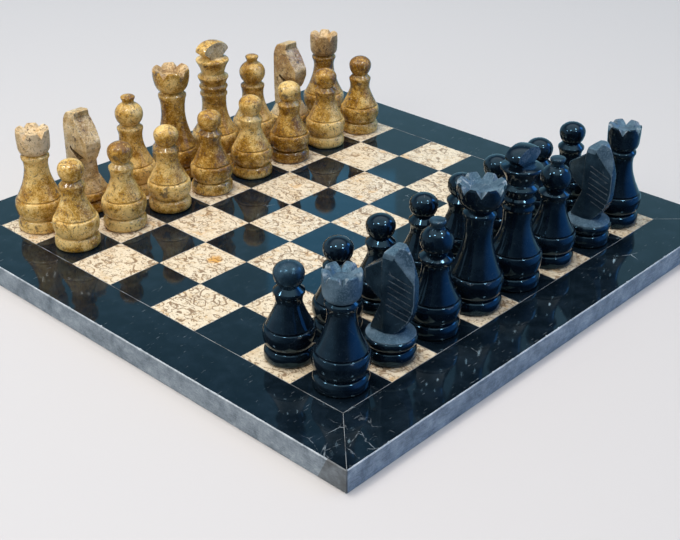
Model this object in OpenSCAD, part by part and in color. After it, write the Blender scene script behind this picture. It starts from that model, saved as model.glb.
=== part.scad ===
// Stone chess set on its board.
// +X runs from the a-file to the h-file, +Y from the light side to the dark side, +Z up.
// The origin is the middle of the board's underside.

/* [Board] */
// Side of one square
square = 39; // [32:0.5:60]
// Width of the border strips
border_w = 34; // [12:0.5:60]
// Thickness of the board
board_t = 14; // [10:0.5:30]
// Thickness of the tiles let into the board
tile_t = 6; // [3:0.5:8]
// Width of the resin seams between the stones
seam_w = 0.25; // [0.1:0.05:0.6]
// Chamfer along the board's upper outer edge
edge_chamfer = 0.5; // [0.2:0.1:2]

/* [Feet] */
// Gap between each piece's foot and the edge of its square: pawn, rook, knight, bishop, queen, king
foot_gap = [4.9, 3.7, 4.6, 3.9, 3.0, 2.7]; // [1:0.1:8]
// Height of the foot disc up to the crease above it
foot_h = 8.6; // [6:0.1:12]
// How far the crease above the foot cuts in
crease_in = 3.1; // [1:0.1:4]
// How far the rim of the belly stands out past the foot
rim_out = 0.5; // [-0.5:0.1:1.5]
// Height of the rim: pawn, rook, bishop, queen, king
rim_z = [16.6, 17.6, 17.2, 18.4, 18.8]; // [14:0.1:24]
// Height from the rim up to the step line below the skirt
step_rise = 4.2; // [2:0.1:6]

/* [Pawn] */
// Height of a pawn
pawn_h = 60; // [50:0.5:80]
// Radius of the head: light, dark
pawn_head_r = [8.4, 8.8]; // [6:0.1:12]
// Radius of the collar: light, dark
pawn_collar_r = [8.3, 8.9]; // [7:0.1:12]
// Smallest radius of the neck
pawn_neck_r = 7.4; // [5:0.1:9]

/* [Rook] */
// Height of a rook
rook_h = 69.6; // [58:0.5:90]
// Radius of the tower
rook_tower_r = 10.8; // [8:0.1:14]
// Radius of the collar
rook_collar_r = 9.3; // [8:0.1:12]
// Smallest radius of the neck
rook_neck_r = 7.9; // [6:0.1:9]
// Number of V cuts round the top
rook_cuts = 6; // [4:1:8]

/* [Bishop] */
// Height of a bishop
bishop_h = 71; // [60:0.5:90]
// Radius of the ball
bishop_ball_r = 9.7; // [8:0.1:13]
// Radius of the button on the ball
bishop_button_r = 4.95; // [3.5:0.1:7]
// Radius of the collar: light, dark
bishop_collar_r = [9.0, 9.9]; // [8:0.1:12]
// Smallest radius of the neck
bishop_neck_r = 8.1; // [6:0.1:9]

/* [Queen] */
// Height of a queen
queen_h = 80.6; // [70:0.5:105]
// Radius of the crown: light, dark
queen_crown_r = [13.1, 14.4]; // [11:0.1:15]
// Number of V cuts round the crown: light, dark
queen_cuts = [6, 8]; // [5:1:9]
// Radius of the collar
queen_collar_r = 10; // [9:0.1:13]
// Smallest radius of the neck
queen_neck_r = 8.5; // [6:0.1:10]

/* [King] */
// Height of a king
king_h = 91; // [80:0.5:120]
// Radius of the cup under the finial: light, dark
king_cup_r = [11.9, 12.7]; // [10:0.1:15]
// Radius of the finial before its two sides are sawn flat
king_finial_r = 12.2; // [10:0.1:14]
// Thickness of the finial between its sawn sides
king_finial_t = 10; // [6:0.5:14]
// Smallest radius of the neck
king_neck_r = 8.9; // [6:0.1:10]

/* [Knight] */
// Height of a light knight
light_knight_h = 71.5; // [62:0.5:90]
// Height of a dark knight
dark_knight_h = 70.5; // [62:0.5:90]
// Half the thickness of the head: light, dark
knight_half_w = [7.6, 7.9]; // [6:0.1:9]
// Width of the saw cut between jaw and neck
throat_cut_w = 1.7; // [0.8:0.1:2.5]
// Number of mane lines cut into each side of a dark knight
mane_lines = 7; // [3:1:9]

/* [Hidden] */
$fn = 96;
PAWN = 0;
ROOK = 1;
KNIGHT = 2;
BISHOP = 3;
QUEEN = 4;
KING = 5;
KIND_NAMES = ["pawn", "rook", "knight", "bishop", "queen", "king"];
FILE_NAMES = "abcdefgh";
SIDE_NAMES = ["light", "dark"];
LIGHT = 0;
DARK = 1;
BACK_RANK = [ROOK, KNIGHT, BISHOP, KING, QUEEN, BISHOP, KNIGHT, ROOK];

light_stone = [0.78, 0.62, 0.38];
dark_stone = [0.06, 0.07, 0.09];
cream_stone = [0.87, 0.81, 0.69];
resin = [0.72, 0.68, 0.6];

field = 8 * square;
board_side = field + 2 * border_w;
slab_t = board_t - tile_t;
foot_ease = 2;
groove_d = 0.35;
groove_w = 0.55;
// The height for which the knights' heads are drawn; a taller or shorter knight stretches its head.
knight_drawn_h = 71.5;

// Each piece: side, kind, file, rank.
PIECES = [
    for (side = [LIGHT, DARK], row = [0, 1], file = [1:8])
        [side, row == 0 ? BACK_RANK[file - 1] : PAWN, file, side == LIGHT ? 1 + row : 8 - row]
];

// The pieces stand as a hand set them: square, steps off centre in X and Y, turn about the axis.
SET_OUT = [
    ["h1", 0, 0, 27], ["h8", 0, 0, 47], ["a8", 0, 0, 24], ["a1", 0, 0, 10],
    ["e1", 0, 0, 25], ["e8", 0, 0, 38], ["c7", 2.8, -3.8, 0], ["d7", 1.8, -2.6, 0],
    ["e7", 1.2, -1.6, 0], ["f7", 1.2, -1.6, 0], ["b8", -1.2, 2.2, 0], ["g8", -0.6, 0.7, 9], ["g1", 1, -1.1, 0]
];

function square_name(p) = str(FILE_NAMES[p[2] - 1], p[3]);
function piece_name(p) = str(SIDE_NAMES[p[0]], "_", KIND_NAMES[p[1]], "_", square_name(p));
function tile_name(side, rank) = str(SIDE_NAMES[side], "_tiles_rank_", rank);
function set_out(p) = [for (s = SET_OUT) if (s[0] == square_name(p)) [s[1], s[2], s[3]]];

BORDER_NAMES = [
    "board_border_light_side", "board_border_h_side", "board_border_dark_side", "board_border_a_side"
];

// ---- outline helpers: every outline is a list of [radius, height] from the foot up ----

// A quarter of an ellipse from a to b, leaving a upright (1) or level (0).
function quarter(a, b, upright, n = 6) = [
    for (i = [1:n])
        let (u = 90 * i / n)
            upright == 1
                ? [b[0] + (a[0] - b[0]) * cos(u), a[1] + (b[1] - a[1]) * sin(u)]
                : [a[0] + (b[0] - a[0]) * sin(u), b[1] - (b[1] - a[1]) * cos(u)]
];

// A sweep from a to b that flattens out towards b, steeper at a with a larger power.
function sweep(a, b, power, n = 9) = [
    for (i = [1:n])
        let (t = i / n)
            [b[0] + (a[0] - b[0]) * pow(1 - t, power), a[1] + (b[1] - a[1]) * t]
];

// The same sweep taken from its flat end to its steep end.
function flare(a, b, power, n = 5) = [
    for (i = [1:n])
        let (t = i / n)
            [a[0] + (b[0] - a[0]) * pow(t, power), a[1] + (b[1] - a[1]) * t]
];

// Part of an ellipse about a centre on the axis, from one height to another.
function bulge(r, centre, half_below, half_above, z_from, z_to, n = 12) = [
    for (i = [0:n])
        let (
            u0 = asin(max(-1, (z_from - centre) / half_below)),
            u1 = asin(min(1, (z_to - centre) / half_above)),
            u = u0 + (u1 - u0) * i / n
        )
            [r * cos(u), centre + (u < 0 ? half_below : half_above) * sin(u)]
];

function foot_r(kind) = square / 2 - foot_gap[kind];

// The rounded lower edge of a foot and its upright side.
function foot_side(r) = concat(
    [[r - foot_ease, 0]],
    quarter([r - foot_ease, 0], [r, foot_ease * 1.2], 0, 4),
    [[r, foot_h * 0.5]]
);

// Foot disc, crease, bowl-shaped belly, rim and the fine step line above it.
function base(kind, rim_height) =
    let (
        r = foot_r(kind),
        crease = [r - crease_in, foot_h],
        rim = [r + rim_out, rim_height],
        step = [r - 1.2, rim_height + step_rise]
    )
        concat(
            [[0, 0]],
            foot_side(r),
            quarter([r, foot_h * 0.5], crease, 1, 5),
            quarter(crease, rim, 0, 6),
            quarter(rim, step, 1, 5),
            [[step[0] - 0.9, step[1] + 0.4], [step[0] - 0.1, step[1] + 0.9]]
        );

// Skirt, neck, flared collar with a sharp edge, and the slope in to the throat under the head.
function stem(start, neck, collar, throat, power) =
    concat(
        sweep(start, neck, power),
        flare(neck, [collar[0], collar[1] - 0.9], 2.4),
        [[collar[0], collar[1] + 0.5]],
        [throat]
    );

function last(list) = list[len(list) - 1];

// ---- outlines of the turned pieces ----

function pawn_outline(side) =
    let (
        low = base(PAWN, rim_z[0]),
        centre = pawn_h - 6.6,
        collar = [pawn_collar_r[side], pawn_h - 17.6],
        throat_z = pawn_h - 14.2,
        head = bulge(pawn_head_r[side], centre, 10, 6.6, throat_z, pawn_h, 14)
    )
        concat(low, stem(last(low), [pawn_neck_r, pawn_h - 24.5], collar, head[0], 1.25), head);

function rook_outline() =
    let (
        low = base(ROOK, rim_z[1]),
        throat = [rook_tower_r - 3.6, rook_h - 16.6],
        shoulder = [rook_tower_r - 0.3, rook_h - 11.6]
    )
        concat(
            low,
            stem(last(low), [rook_neck_r, rook_h - 25.6], [rook_collar_r, rook_h - 18.9], throat, 1.75),
            quarter(throat, shoulder, 0, 6),
            [[rook_tower_r, rook_h - 6], [rook_tower_r, rook_h - 0.6], [rook_tower_r - 0.6, rook_h]],
            [[rook_tower_r - 2.6, rook_h - 0.4], [rook_tower_r * 0.42, rook_h - 3.6], [0, rook_h - 3.2]]
        );

function bishop_outline(side) =
    let (
        low = base(BISHOP, rim_z[2]),
        centre = bishop_h - 13.2,
        throat_z = bishop_h - 20.8,
        button = bishop_button_r,
        ball = bulge(bishop_ball_r, centre, 9.75, 8.6, throat_z, bishop_h - 5.6, 16)
    )
        concat(
            low,
            stem(last(low), [bishop_neck_r, bishop_h - 30], [bishop_collar_r[side], bishop_h - 23.6], ball[0], 1.8),
            ball,
            [[button - 0.95, bishop_h - 4.4], [button - 0.75, bishop_h - 3.3], [button - 0.1, bishop_h - 2]],
            [[button, bishop_h - 1.2], [button - 0.5, bishop_h - 0.5], [button - 1.6, bishop_h - 0.1], [0, bishop_h]]
        );

function queen_outline(side) =
    let (
        low = base(QUEEN, rim_z[3]),
        r = queen_crown_r[side],
        throat = [queen_collar_r - 2.7, queen_h - 16.6]
    )
        concat(
            low,
            stem(last(low), [queen_neck_r, queen_h - 31.6], [queen_collar_r, queen_h - 19.6], throat, 1.8),
            quarter(throat, [r, queen_h - 3.4], 0, 9),
            [[r, queen_h - 1.2], [r - 0.7, queen_h]],
            [[r - 2.2, queen_h - 0.6], [r * 0.45, queen_h - 4.6], [2.4, queen_h - 4.8], [0, queen_h - 3.9]]
        );

function king_outline(side) =
    let (
        low = base(KING, rim_z[4]),
        cup = king_cup_r[side],
        neck = [king_neck_r, king_h - 45.5],
        // Three rings under the cup: radius, height of the edge, and the groove above each.
        rings = [[10.0, king_h - 39.2, 9.2], [10.4, king_h - 33.6, 9.0], [11.2, king_h - 26.4, 8.4]],
        finial_z = king_h - 6.7
    )
        concat(
            low,
            sweep(last(low), neck, 2.3),
            [for (k = rings) each [
                [k[0] - 0.9, k[1] - 2.1],
                [k[0], k[1] - 0.5],
                [k[0], k[1] + 0.4],
                [k[2], k[1] + (k[0] > 11 ? 2.6 : 1.9)]
            ]],
            flare([8.4, king_h - 23.6], [cup, king_h - 14.6], 1.5, 6),
            [[cup, king_h - 13.5], [cup - 0.6, king_h - 12.9], [7.7, king_h - 11.5], [7.9, king_h - 10.9]],
            flare([7.9, king_h - 10.9], [king_finial_r, finial_z - 0.3], 1.2, 4),
            bulge(king_finial_r, finial_z, 6.7, 6.7, finial_z, king_h, 11)
        );

// ---- turned pieces ----

module turned(outline) {
    rotate_extrude() polygon(outline);
}

// V cuts round a hollow rim, each running out and down through the wall with flared sides.
module rim_cuts(count, rim_r, top, depth, half_w) {
    for (k = [0:count - 1])
        rotate([0, 0, k * 360 / count])
            translate([rim_r, 0, top - depth])
                rotate([0, 20, 0])
                    rotate([90, 0, 90])
                        translate([0, 0, -rim_r * 0.7])
                            linear_extrude(rim_r)
                                polygon([
                                    [0, 0],
                                    [half_w * 0.5, depth * 0.55],
                                    [half_w * 0.8, depth * 0.8],
                                    [half_w * 1.5, depth * 1.25],
                                    [half_w * 1.5, depth * 3],
                                    [-half_w * 1.5, depth * 3],
                                    [-half_w * 1.5, depth * 1.25],
                                    [-half_w * 0.8, depth * 0.8],
                                    [-half_w * 0.5, depth * 0.55]
                                ]);
}

module pawn(side) {
    turned(pawn_outline(side));
}

module rook() {
    difference() {
        turned(rook_outline());
        rim_cuts(rook_cuts, rook_tower_r, rook_h, 4.6, 3.3);
    }
}

module bishop(side) {
    turned(bishop_outline(side));
}

module queen(side) {
    difference() {
        turned(queen_outline(side));
        rim_cuts(queen_cuts[side], queen_crown_r[side], queen_h, 5, 3.7);
    }
}

// The finial is a domed cap sawn flat in front and behind, facing along Y.
module king(side) {
    saw_z = king_h - 12;
    difference() {
        turned(king_outline(side));
        for (way = [-1, 1])
            translate([-square / 2, way > 0 ? king_finial_t / 2 : -square / 2 - king_finial_t / 2, saw_z])
                cube([square, square / 2, 20]);
    }
}

// ---- knights, carved facing +Y ----

module knight_foot(top_r, shoulder_z, top_z) {
    r = foot_r(KNIGHT);
    crease = [r - crease_in, foot_h];
    band = [r + rim_out, 13.2];
    turned(concat(
        [[0, 0]],
        foot_side(r),
        quarter([r, foot_h * 0.5], crease, 1, 5),
        quarter(crease, band, 0, 6),
        [[r + rim_out - 0.3, 14.4], [r - 0.5, 15.1], [r - 1.1, 15.3], [r - 0.8, shoulder_z]],
        [[top_r, top_z], [0, top_z]]
    ));
}

// A solid with one outline seen from the side (Y, Z) and another seen from above (X, Y).
module carved(side_view, top_view, front_view) {
    intersection() {
        rotate([90, 0, 90])
            translate([0, 0, -square / 2])
                linear_extrude(square)
                    polygon(side_view);
        linear_extrude(dark_knight_h + light_knight_h)
            polygon(top_view);
        rotate([90, 0, 0])
            translate([0, 0, -square / 2])
                linear_extrude(square)
                    polygon(front_view);
    }
}

function mirrored(half) = concat(half, [for (i = [len(half) - 1:-1:0]) [-half[i][0], half[i][1]]]);

// The saw cut that frees the jaw from the neck, running down and forward.
module throat_cut(start, slope, width) {
    translate(start)
        rotate([-slope, 0, 0])
            translate([-square / 2, 0, -throat_cut_w])
                cube([square, square, width]);
}

// Everything beyond a plane through a point, on both sides of the head.
module facets(point, normal) {
    for (way = [-1, 1])
        mirror([way < 0 ? 1 : 0, 0, 0])
            translate(point)
                rotate([0, acos(normal[2] / norm(normal)), atan2(normal[1], normal[0])])
                    translate([-square, -square, 0])
                        cube([2 * square, 2 * square, square / 2]);
}

// A point of a head drawn for a knight of knight_drawn_h, its height counted from the top.
function from_top(h, y, drop) = [y, h - drop * h / knight_drawn_h];
function head_outline(h, points) = [for (p = points) from_top(h, p[0], p[1])];

module light_knight() {
    h = light_knight_h;
    w = knight_half_w[LIGHT];
    slot = [0, -2.6, from_top(h, 0, 24.6)[1]];
    knight_foot(10.6, 15.9, 22.6);
    difference() {
        carved(
            concat(
                [[-9.0, 20]],
                head_outline(h, [
                    [-9.4, 41.5], [-10.3, 31.5], [-10.8, 23.5], [-10.5, 16.5], [-9.8, 9.6], [-8.8, 5.0],
                    [-7.2, 2.2], [-4.9, 1.0], [1.6, 0], [2.8, 0.4], [2.4, 4.6], [3.0, 5.6], [12.4, 19.2],
                    [13.0, 20.8], [12.8, 25.4], [12.2, 25.9], [12.4, 26.4], [11.4, 31.5], [10.0, 34.2],
                    [4.6, 31.4], [4.8, 36], [5.4, 43.5]
                ]),
                [[6.8, 20]]
            ),
            mirrored([
                [w * 0.62, -12], [w * 0.94, -9.6], [w, -6], [w, 4], [w - 0.8, 9.4], [6.2, 12.6], [5.8, 13.6]
            ]),
            mirrored([
                [w + 1.6, 18], [w + 1.4, 26], [w + 0.5, h - 34], [w + 0.3, h - 20], [w - 0.9, h - 6],
                [w - 2.2, h + 1]
            ])
        );
        throat_cut(slot, 38, throat_cut_w);
        intersection() {
            facets([6.6, 12.4, from_top(h, 0, 24.5)[1]], [0.933, 0.12, -0.341]);
            throat_cut(slot, 38, square);
        }
        mane_nicks(h);
    }
}

// Fine slanting nicks down the back edges of a light knight's mane.
module mane_nicks(h) {
    for (way = [-1, 1], k = [0:8])
        translate([way * knight_half_w[LIGHT] * 0.93, -9.9, 34 + k * (h - 44) / 9])
            rotate([32, 0, -way * 38])
                cube([2 * groove_d, 7, groove_w], center = true);
}

module dark_knight() {
    h = dark_knight_h;
    w = knight_half_w[DARK];
    knight_foot(8.4, 15.6, 18.2);
    difference() {
        dark_neck(h, w);
        facets([w, -3.2, from_top(h, 0, 5.6)[1]], [0.722, -0.636, 0.271]);
        mane_grooves(h);
    }
    dark_muzzle(h, w);
}

// Neck and mane of a dark knight: a bowed wedge, widest in front, running down to the foot.
module dark_neck(h, w) {
    carved(
        concat(
            [[-3.5, 17], [-7.8, 20], [-12.2, 26]],
            head_outline(h, [
                [-14.6, 39], [-15.6, 32], [-15.6, 24], [-14.8, 15], [-13.2, 8], [-10.4, 2.8], [-7.6, 0.5],
                [-4, 0], [-0.6, 0.9], [2.0, 3.4], [2.8, 6], [2.8, 34.5]
            ]),
            [[6, 29], [9.6, 20], [10, 17]]
        ),
        mirrored([[1.0, -16], [2.6, -15.2], [w - 0.2, -1.2], [w, 0.5], [w - 0.4, 2.8], [w - 1.8, 10.4]]),
        mirrored([[w, 16], [w, h - 14], [w - 1.6, h - 4], [w - 4.4, h - 0.4], [w - 6, h + 1]])
    );
}

// Muzzle of a dark knight, set forward of the neck and narrower than it.
module dark_muzzle(h, w) {
    carved(
        head_outline(h, [
            [0, 7], [3, 8.6], [15.8, 18.4], [17.0, 20.2], [16.4, 24.4], [14.4, 27.2], [9.6, 31], [3.4, 34.4], [0, 34.4]
        ]),
        mirrored([[w - 1.9, 0], [w - 1.9, 4], [3.8, 15], [2.6, 17.2]]),
        mirrored([[3.2, 34], [w - 2, 46], [w, h]])
    );
}

// Straight lines cut across both sides of a dark knight's neck, falling towards its back.
module mane_grooves(h) {
    first_z = 29.5;
    rise = (h - 44) / mane_lines;
    reach = 14.5;
    taper = atan2(knight_half_w[DARK] - 2.8, 14);
    for (way = [-1, 1], k = [0:mane_lines - 1])
        translate([way * (knight_half_w[DARK] - 2.7), -7.6, first_z + k * rise])
            rotate([28, 0, -way * taper])
                cube([2 * groove_d, reach, groove_w], center = true);
}

module piece_shape(kind, side) {
    if (kind == PAWN) pawn(side);
    if (kind == ROOK) rook();
    if (kind == BISHOP) bishop(side);
    if (kind == QUEEN) queen(side);
    if (kind == KING) king(side);
    if (kind == KNIGHT && side == LIGHT) light_knight();
    if (kind == KNIGHT && side == DARK) dark_knight();
}

module piece(p) {
    found = set_out(p);
    off = len(found) == 0 ? [0, 0, 0] : found[0];
    facing = p[0] == DARK ? 180 : 0;
    color(p[0] == DARK ? dark_stone : light_stone)
        translate([(p[2] - 4.5) * square + off[0], (p[3] - 4.5) * square + off[1], board_t])
            rotate([0, 0, facing + off[2]])
                piece_shape(p[1], p[0]);
}

// ---- board ----

module board_slab() {
    width = field + 2 * seam_w;
    color(dark_stone)
        translate([-width / 2, -width / 2, 0])
            cube([width, width, slab_t]);
}

// The four tiles of one colour on one rank. The a1 corner is dark.
module tiles(side, rank) {
    color(side == LIGHT ? cream_stone : dark_stone)
        for (file = [1:8])
            if ((file + rank) % 2 == (side == LIGHT ? 1 : 0))
                translate([(file - 5) * square + seam_w / 2, (rank - 5) * square + seam_w / 2, slab_t])
                    cube([square - seam_w, square - seam_w, tile_t]);
}

// One border strip along the light side, mitred at both ends, then turned to its own side.
module board_border(turn) {
    inner = field / 2 + seam_w;
    outer = board_side / 2;
    reach = seam_w / 2 * sqrt(2);
    color(dark_stone)
        rotate([0, 0, turn])
            intersection() {
                rotate([90, 0, 90])
                    translate([0, 0, -outer])
                        linear_extrude(2 * outer)
                            polygon([
                                [-outer, 0],
                                [-inner, 0],
                                [-inner, board_t],
                                [-outer + edge_chamfer, board_t],
                                [-outer, board_t - edge_chamfer]
                            ]);
                linear_extrude(board_t)
                    polygon([
                        [-outer + reach, -outer],
                        [outer - reach, -outer],
                        [inner - reach, -inner],
                        [-inner + reach, -inner]
                    ]);
            }
}

// The four mitre seams seen from above, each stopping just short of the outer corner.
module mitre_plan() {
    start = field / 2 + seam_w;
    end = board_side / 2 - edge_chamfer;
    reach = seam_w / 2 * sqrt(2);
    for (turn = [0:90:270])
        rotate([0, 0, turn])
            polygon([
                [start, start],
                [start, start - reach],
                [end, end - reach],
                [end - reach, end],
                [start - reach, start]
            ]);
}

// Pale resin fills the seams between the tiles, the seam inside the border and the four mitres.
module joint_resin() {
    width = field + 2 * seam_w;
    color(resin) {
        translate([0, 0, slab_t])
            linear_extrude(tile_t)
                difference() {
                    square([width, width], center = true);
                    for (file = [1:8], rank = [1:8])
                        translate([(file - 5) * square + seam_w / 2, (rank - 5) * square + seam_w / 2])
                            square([square - seam_w, square - seam_w]);
                }
        linear_extrude(board_t) mitre_plan();
    }
}

board_slab();
joint_resin();
for (i = [0:3])
    board_border(i * 90);
for (side = [LIGHT, DARK], rank = [1:8])
    tiles(side, rank);
for (p = PIECES)
    piece(p);
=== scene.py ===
"""A turned and carved stone chess set on its inlaid marble board, dressed around the CAD frame."""

import logging
import math
from dataclasses import dataclass
from enum import Enum, IntEnum
from typing import Optional, Sequence, Union

import bmesh
import bpy
import numpy as np
from mathutils import Matrix, Vector, noise


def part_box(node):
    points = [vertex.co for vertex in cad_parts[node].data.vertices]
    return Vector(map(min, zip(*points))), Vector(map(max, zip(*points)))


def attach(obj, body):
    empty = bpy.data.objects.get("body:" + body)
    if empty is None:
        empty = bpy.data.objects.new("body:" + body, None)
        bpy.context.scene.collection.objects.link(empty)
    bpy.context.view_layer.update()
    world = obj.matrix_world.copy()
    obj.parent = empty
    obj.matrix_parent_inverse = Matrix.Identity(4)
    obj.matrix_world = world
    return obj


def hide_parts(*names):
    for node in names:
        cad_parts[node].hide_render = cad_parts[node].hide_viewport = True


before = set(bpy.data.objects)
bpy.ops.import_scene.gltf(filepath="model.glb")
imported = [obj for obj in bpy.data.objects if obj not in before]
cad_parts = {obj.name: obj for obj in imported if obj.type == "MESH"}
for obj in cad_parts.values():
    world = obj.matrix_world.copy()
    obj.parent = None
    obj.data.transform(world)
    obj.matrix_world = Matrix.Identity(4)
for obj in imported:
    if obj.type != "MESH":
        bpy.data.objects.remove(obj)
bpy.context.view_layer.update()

MM = 0.001
TWO_PI = 2 * math.pi
# Farthest place in its block, in millimetres, that a tile's pattern is drawn from.
BLOCK = 400.0
log = logging.getLogger("chess_set")

Socket = bpy.types.NodeSocket
Feed = Union[Socket, bpy.types.ID, float, int, bool, str, tuple]
Point = tuple[float, float]
Profile = list[Point]
Colour = tuple[float, float, float]
Spot = tuple[float, float, float]


class Side(Enum):
    """The two armies."""

    LIGHT = "light"
    DARK = "dark"


class Polish(IntEnum):
    """How a face of a piece was worked, which is also its material slot."""

    MIRROR = 0
    HONED = 1
    SAWN = 2
    SATIN = 3


class Strip(IntEnum):
    """How a face of a border strip was worked, which is also its material slot."""

    POLISHED = 0
    SAWN = 1
    ARRIS = 2


class Turning(Enum):
    """Which way a quarter of an ellipse leaves its first point."""

    UPRIGHT = "upright"
    LEVEL = "level"


class Facing(Enum):
    """The plane in which a saw outline is drawn."""

    SIDE = "side"
    TOP = "top"
    FRONT = "front"


# ---- node trees ----


class Sketch:
    """Adds nodes to a tree and wires them as it goes."""

    def __init__(self, tree: bpy.types.NodeTree) -> None:
        """Keeps the tree that the nodes go into.

        Args:
            tree: A shader or geometry node tree.
        """
        self.tree = tree

    def node(self, kind: str, feeds: Optional[dict] = None, **settings: object) -> bpy.types.Node:
        """Adds one node.

        Args:
            kind: The node's type name.
            feeds: Socket name or number to a value or to another node's output.
            **settings: Properties of the node itself.

        Returns:
            The new node.
        """
        made = self.tree.nodes.new(kind)
        for key, value in settings.items():
            setattr(made, key, value)
        for key, value in (feeds or {}).items():
            if isinstance(value, Socket):
                self.tree.links.new(value, made.inputs[key])
            else:
                made.inputs[key].default_value = value
        return made

    def math(self, operation: str, *values: Feed) -> Socket:
        """One Math node on up to three values."""
        return self.node("ShaderNodeMath", dict(enumerate(values)), operation=operation).outputs[0]

    def vector(self, operation: str, *values: Feed) -> Socket:
        """One Vector Math node on up to three vectors."""
        return self.node("ShaderNodeVectorMath", dict(enumerate(values)), operation=operation).outputs[0]

    def spread(self, place: Feed, factor: Feed) -> Socket:
        """A vector times a number."""
        return self.node("ShaderNodeVectorMath", {0: place, "Scale": factor}, operation="SCALE").outputs[0]

    def joined(self, x: Feed = 0.0, y: Feed = 0.0, z: Feed = 0.0) -> Socket:
        """A vector from its three parts."""
        return self.node("ShaderNodeCombineXYZ", {0: x, 1: y, 2: z}).outputs[0]

    def measured(self, operation: str, a: Feed, b: Feed) -> Socket:
        """The number that a Vector Math node draws from two vectors, such as their distance."""
        return self.node("ShaderNodeVectorMath", {0: a, 1: b}, operation=operation).outputs["Value"]

    def object_place(self) -> Socket:
        """The place on the object, in metres."""
        return self.node("ShaderNodeTexCoord").outputs["Object"]

    def remap(
        self, value: Feed, low: float, high: float, to_low: float = 0.0, to_high: float = 1.0
    ) -> Socket:
        """Maps a value smoothly from one range to another and holds it at the ends.

        Args:
            value: What is mapped.
            low: Where the ramp starts.
            high: Where the ramp ends.
            to_low: Result at the start.
            to_high: Result at the end.

        Returns:
            The mapped value.
        """
        feeds = {"Value": value, "From Min": low, "From Max": high, "To Min": to_low, "To Max": to_high}
        return self.node("ShaderNodeMapRange", feeds, interpolation_type="SMOOTHSTEP").outputs[0]

    def mix(self, factor: Feed, a: Feed, b: Feed, blend: str = "MIX") -> Socket:
        """Mixes two colours.

        Args:
            factor: How much of b.
            a: First colour.
            b: Second colour.
            blend: Blend mode.

        Returns:
            The mixed colour.
        """
        a, b = (c if isinstance(c, Socket) else (*c, 1.0) for c in (a, b))
        made = self.node("ShaderNodeMix", {0: factor, 6: a, 7: b}, data_type="RGBA", blend_type=blend)
        return made.outputs[2]

    def noise(
        self, place: Feed, scale: float, detail: float = 3.0, rough: float = 0.5, seed: float = 0.0
    ) -> bpy.types.Node:
        """Fractal noise at a point.

        Args:
            place: Where it is read.
            scale: Cells to the unit of place.
            detail: Octaves.
            rough: Weight of each finer octave.
            seed: Slice of the noise.

        Returns:
            The noise node, value first and colour second.
        """
        feeds = {"Vector": place, "W": seed, "Scale": scale, "Detail": detail, "Roughness": rough}
        return self.node("ShaderNodeTexNoise", feeds, noise_dimensions="4D")

    def warped(self, place: Feed, scale: float, amount: float, seed: float = 0.0) -> Socket:
        """Pushes points about by soft noise.

        Args:
            place: The points.
            scale: Noise cells to the unit.
            amount: Largest push, in units.
            seed: Slice of the noise.

        Returns:
            The pushed points.
        """
        push = self.vector("SUBTRACT", self.noise(place, scale, 2.0, 0.5, seed).outputs[1], (0.5, 0.5, 0.5))
        return self.vector("ADD", place, self.spread(push, 2 * amount))

    def cells(self, place: Feed, scale: float, feature: str = "F1") -> bpy.types.Node:
        """Cell pattern at a point.

        Args:
            place: Where it is read.
            scale: Cells to the unit.
            feature: Which distance.

        Returns:
            The pattern's node.
        """
        return self.node("ShaderNodeTexVoronoi", {"Vector": place, "Scale": scale}, feature=feature)


# ---- finishes ----


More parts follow.
